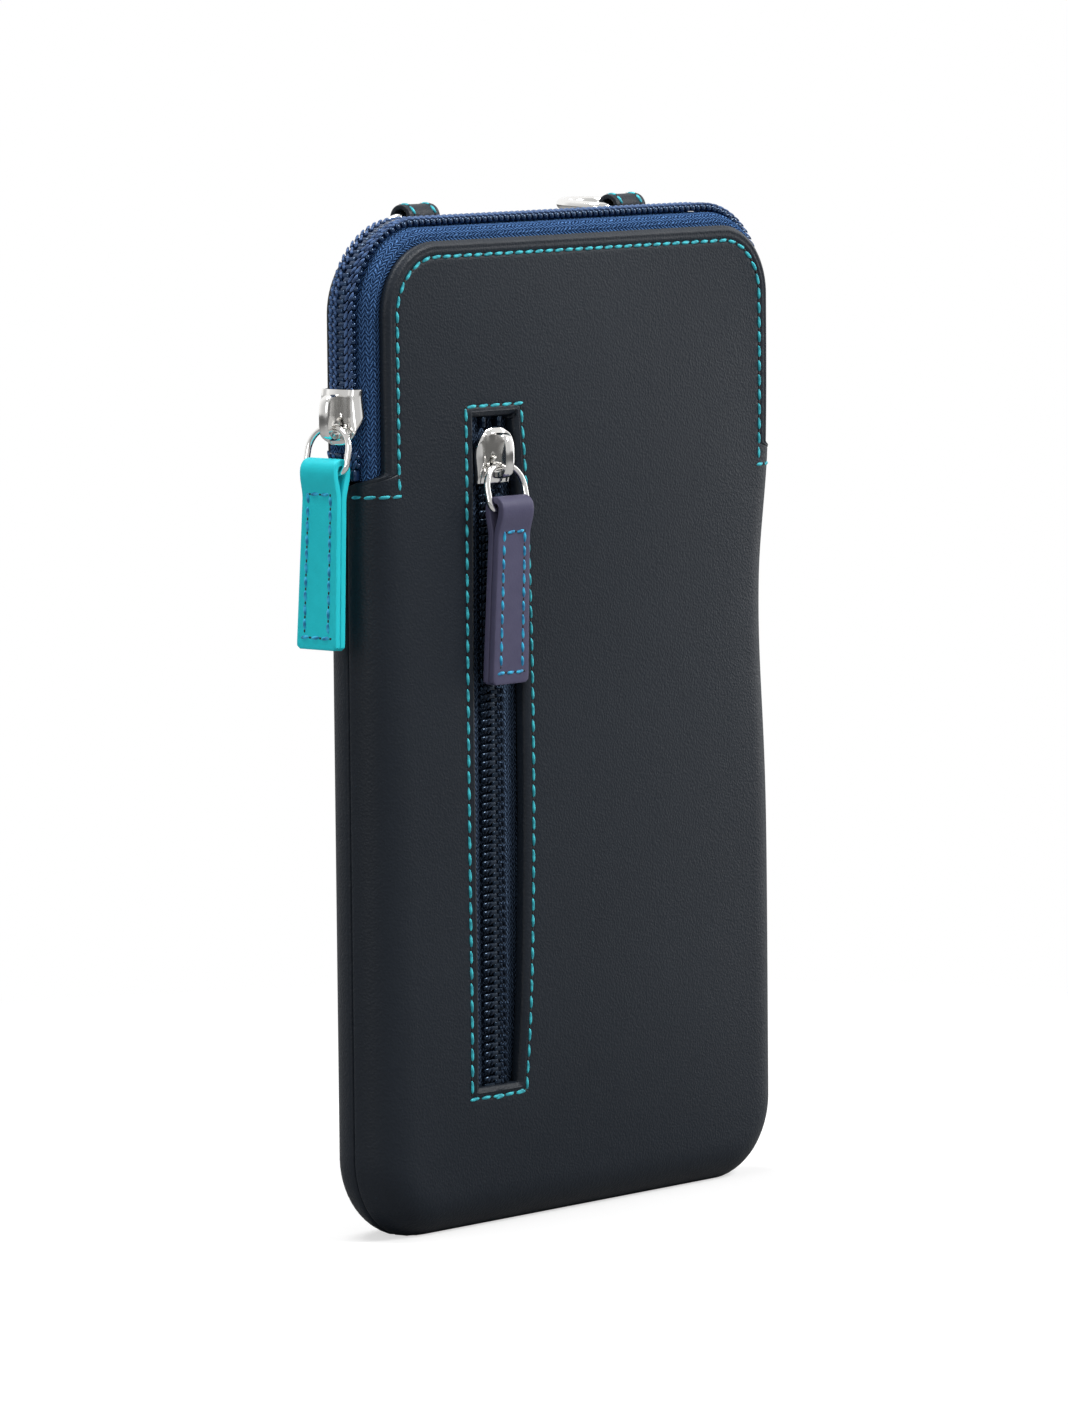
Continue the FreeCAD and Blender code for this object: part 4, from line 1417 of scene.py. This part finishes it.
lining("front_lining_cloth", "front_lining", "front_panel_leather", -LINING_DEPTH, *LINING_ROOM, 0.12)
lining("back_lining_cloth", "back_lining", "back_panel_leather", LINING_DEPTH, *LINING_ROOM, 0.12)
lining("pocket_bag_cloth", "pocket_bag", "front_panel_leather", -BAG_DEPTH, *BAG_ROOM, 0.05)


# Floor, light and camera

VIEW_YAW = math.radians(48.0)
WHITE = (1, 1, 1, 1)


def seen(shade):
    """1 for the camera's own rays, straight or through what is clear."""
    return shade.add("ShaderNodeLightPath") + shade.add("ShaderNodeLightPath", output=6)


def mixed(share, first, second):
    """Two shaders mixed, by a share of the second."""
    return share.add("ShaderNodeMixShader", None, {0: share, 1: first, 2: second})


def studio_floor():
    """Pale floor that fades to white away from the pouch, and darker to light that bounces."""
    bpy.ops.mesh.primitive_plane_add(size=6)
    floor = named("floor")
    pale = (0.46, 0.46, 0.46, 1)
    finish, shade, shader = new_finish("floor_white", Base_Color=pale, Roughness=0.9, Specular_IOR_Level=0.0)
    glow, white = (
        shade.add("ShaderNodeEmission", None, {0: WHITE, 1: strength}) for strength in (0.60, 1.0)
    )
    near = shade.add("ShaderNodeAddShader", None, {0: Shade(shade.tree, shader.outputs[0]), 1: glow})
    reach = shade.add("ShaderNodeVectorMath", {"operation": "LENGTH"}, {0: shade.place()}, output=1)
    ground = mixed(reach.spread(0.08, 0.30), near, white)
    bounced = shade.add("ShaderNodeBsdfDiffuse", None, {"Color": (0.32, 0.32, 0.32, 1)})
    mix = mixed(seen(shade), bounced, ground)
    shade.tree.links.new(mix.plug, shade.tree.nodes["Material Output"].inputs[0])
    floor.data.materials.append(finish)


def studio_room():
    """White room with soft light, dimmer on the camera's side where only mirrors see it."""
    world = bpy.data.worlds.new("studio")
    world.use_nodes = True
    bpy.context.scene.world = world
    sky = Shade(world.node_tree)
    mirrored = sky.add("ShaderNodeLightPath", output=3)
    view = (math.sin(VIEW_YAW), math.cos(VIEW_YAW), 0.0)
    way = {0: sky.add("ShaderNodeTexCoord"), 1: view}
    behind = sky.add("ShaderNodeVectorMath", {"operation": "DOT_PRODUCT"}, way, output=1)
    soft, dim, white = (
        sky.add("ShaderNodeBackground", None, {0: WHITE, 1: strength}) for strength in (0.24, 0.60, 1.0)
    )
    room = mixed(behind.spread(-0.15, 0.35), dim, white)
    mix = mixed(seen(sky), mixed(mirrored, soft, room), white)
    world.node_tree.links.new(mix.plug, world.node_tree.nodes["World Output"].inputs[0])


def lamp(name, place, aim, size, watts):
    """Area light at a place in metres, turned towards its aim."""
    bpy.ops.object.light_add(type="AREA", location=Vector(place))
    light = bpy.context.object
    light.name = name
    light.data.shape = "RECTANGLE"
    light.data.size, light.data.size_y = size
    light.data.energy = watts
    light.rotation_euler = (Vector(aim) - Vector(place)).to_track_quat("-Z", "Y").to_euler()


studio_floor()
studio_room()
lamp("key_light", (0.42, -0.72, 0.85), (0, 0, 0.10), (0.36, 0.36), 10.0)
lamp("fill_light", (-0.95, -0.25, 0.45), (0, 0, 0.09), (0.4, 0.6), 2.2)
lamp("side_light", (1.0, -0.12, 0.35), (0, 0, 0.09), (0.5, 0.8), 2.2)
lamp("top_light", (-0.15, 0.2, 1.0), (0, 0, 0.09), (0.5, 0.5), 7.0)


def camera():
    """Long lens at the photo's angle."""
    distance = 1.42
    pitch, roll = math.radians(5.85), math.radians(-0.55)
    level = Vector((math.sin(VIEW_YAW), math.cos(VIEW_YAW), 0))
    forward = level * math.cos(pitch) - Vector((0, 0, math.sin(pitch)))
    aim = Vector((-5.1, 0.65, 91.0)) * MM
    data = bpy.data.cameras.new("camera")
    data.lens = 197.5
    data.clip_start = 0.01
    piece = bpy.data.objects.new("camera", data)
    bpy.context.collection.objects.link(piece)
    piece.location = aim - forward * distance
    turn = forward.to_track_quat("-Z", "Y").to_matrix().to_4x4()
    piece.rotation_euler = (turn @ Matrix.Rotation(roll, 4, "Z")).to_euler()
    bpy.context.scene.camera = piece


camera()
bpy.context.scene.view_settings.view_transform = "Standard"

object_mode()
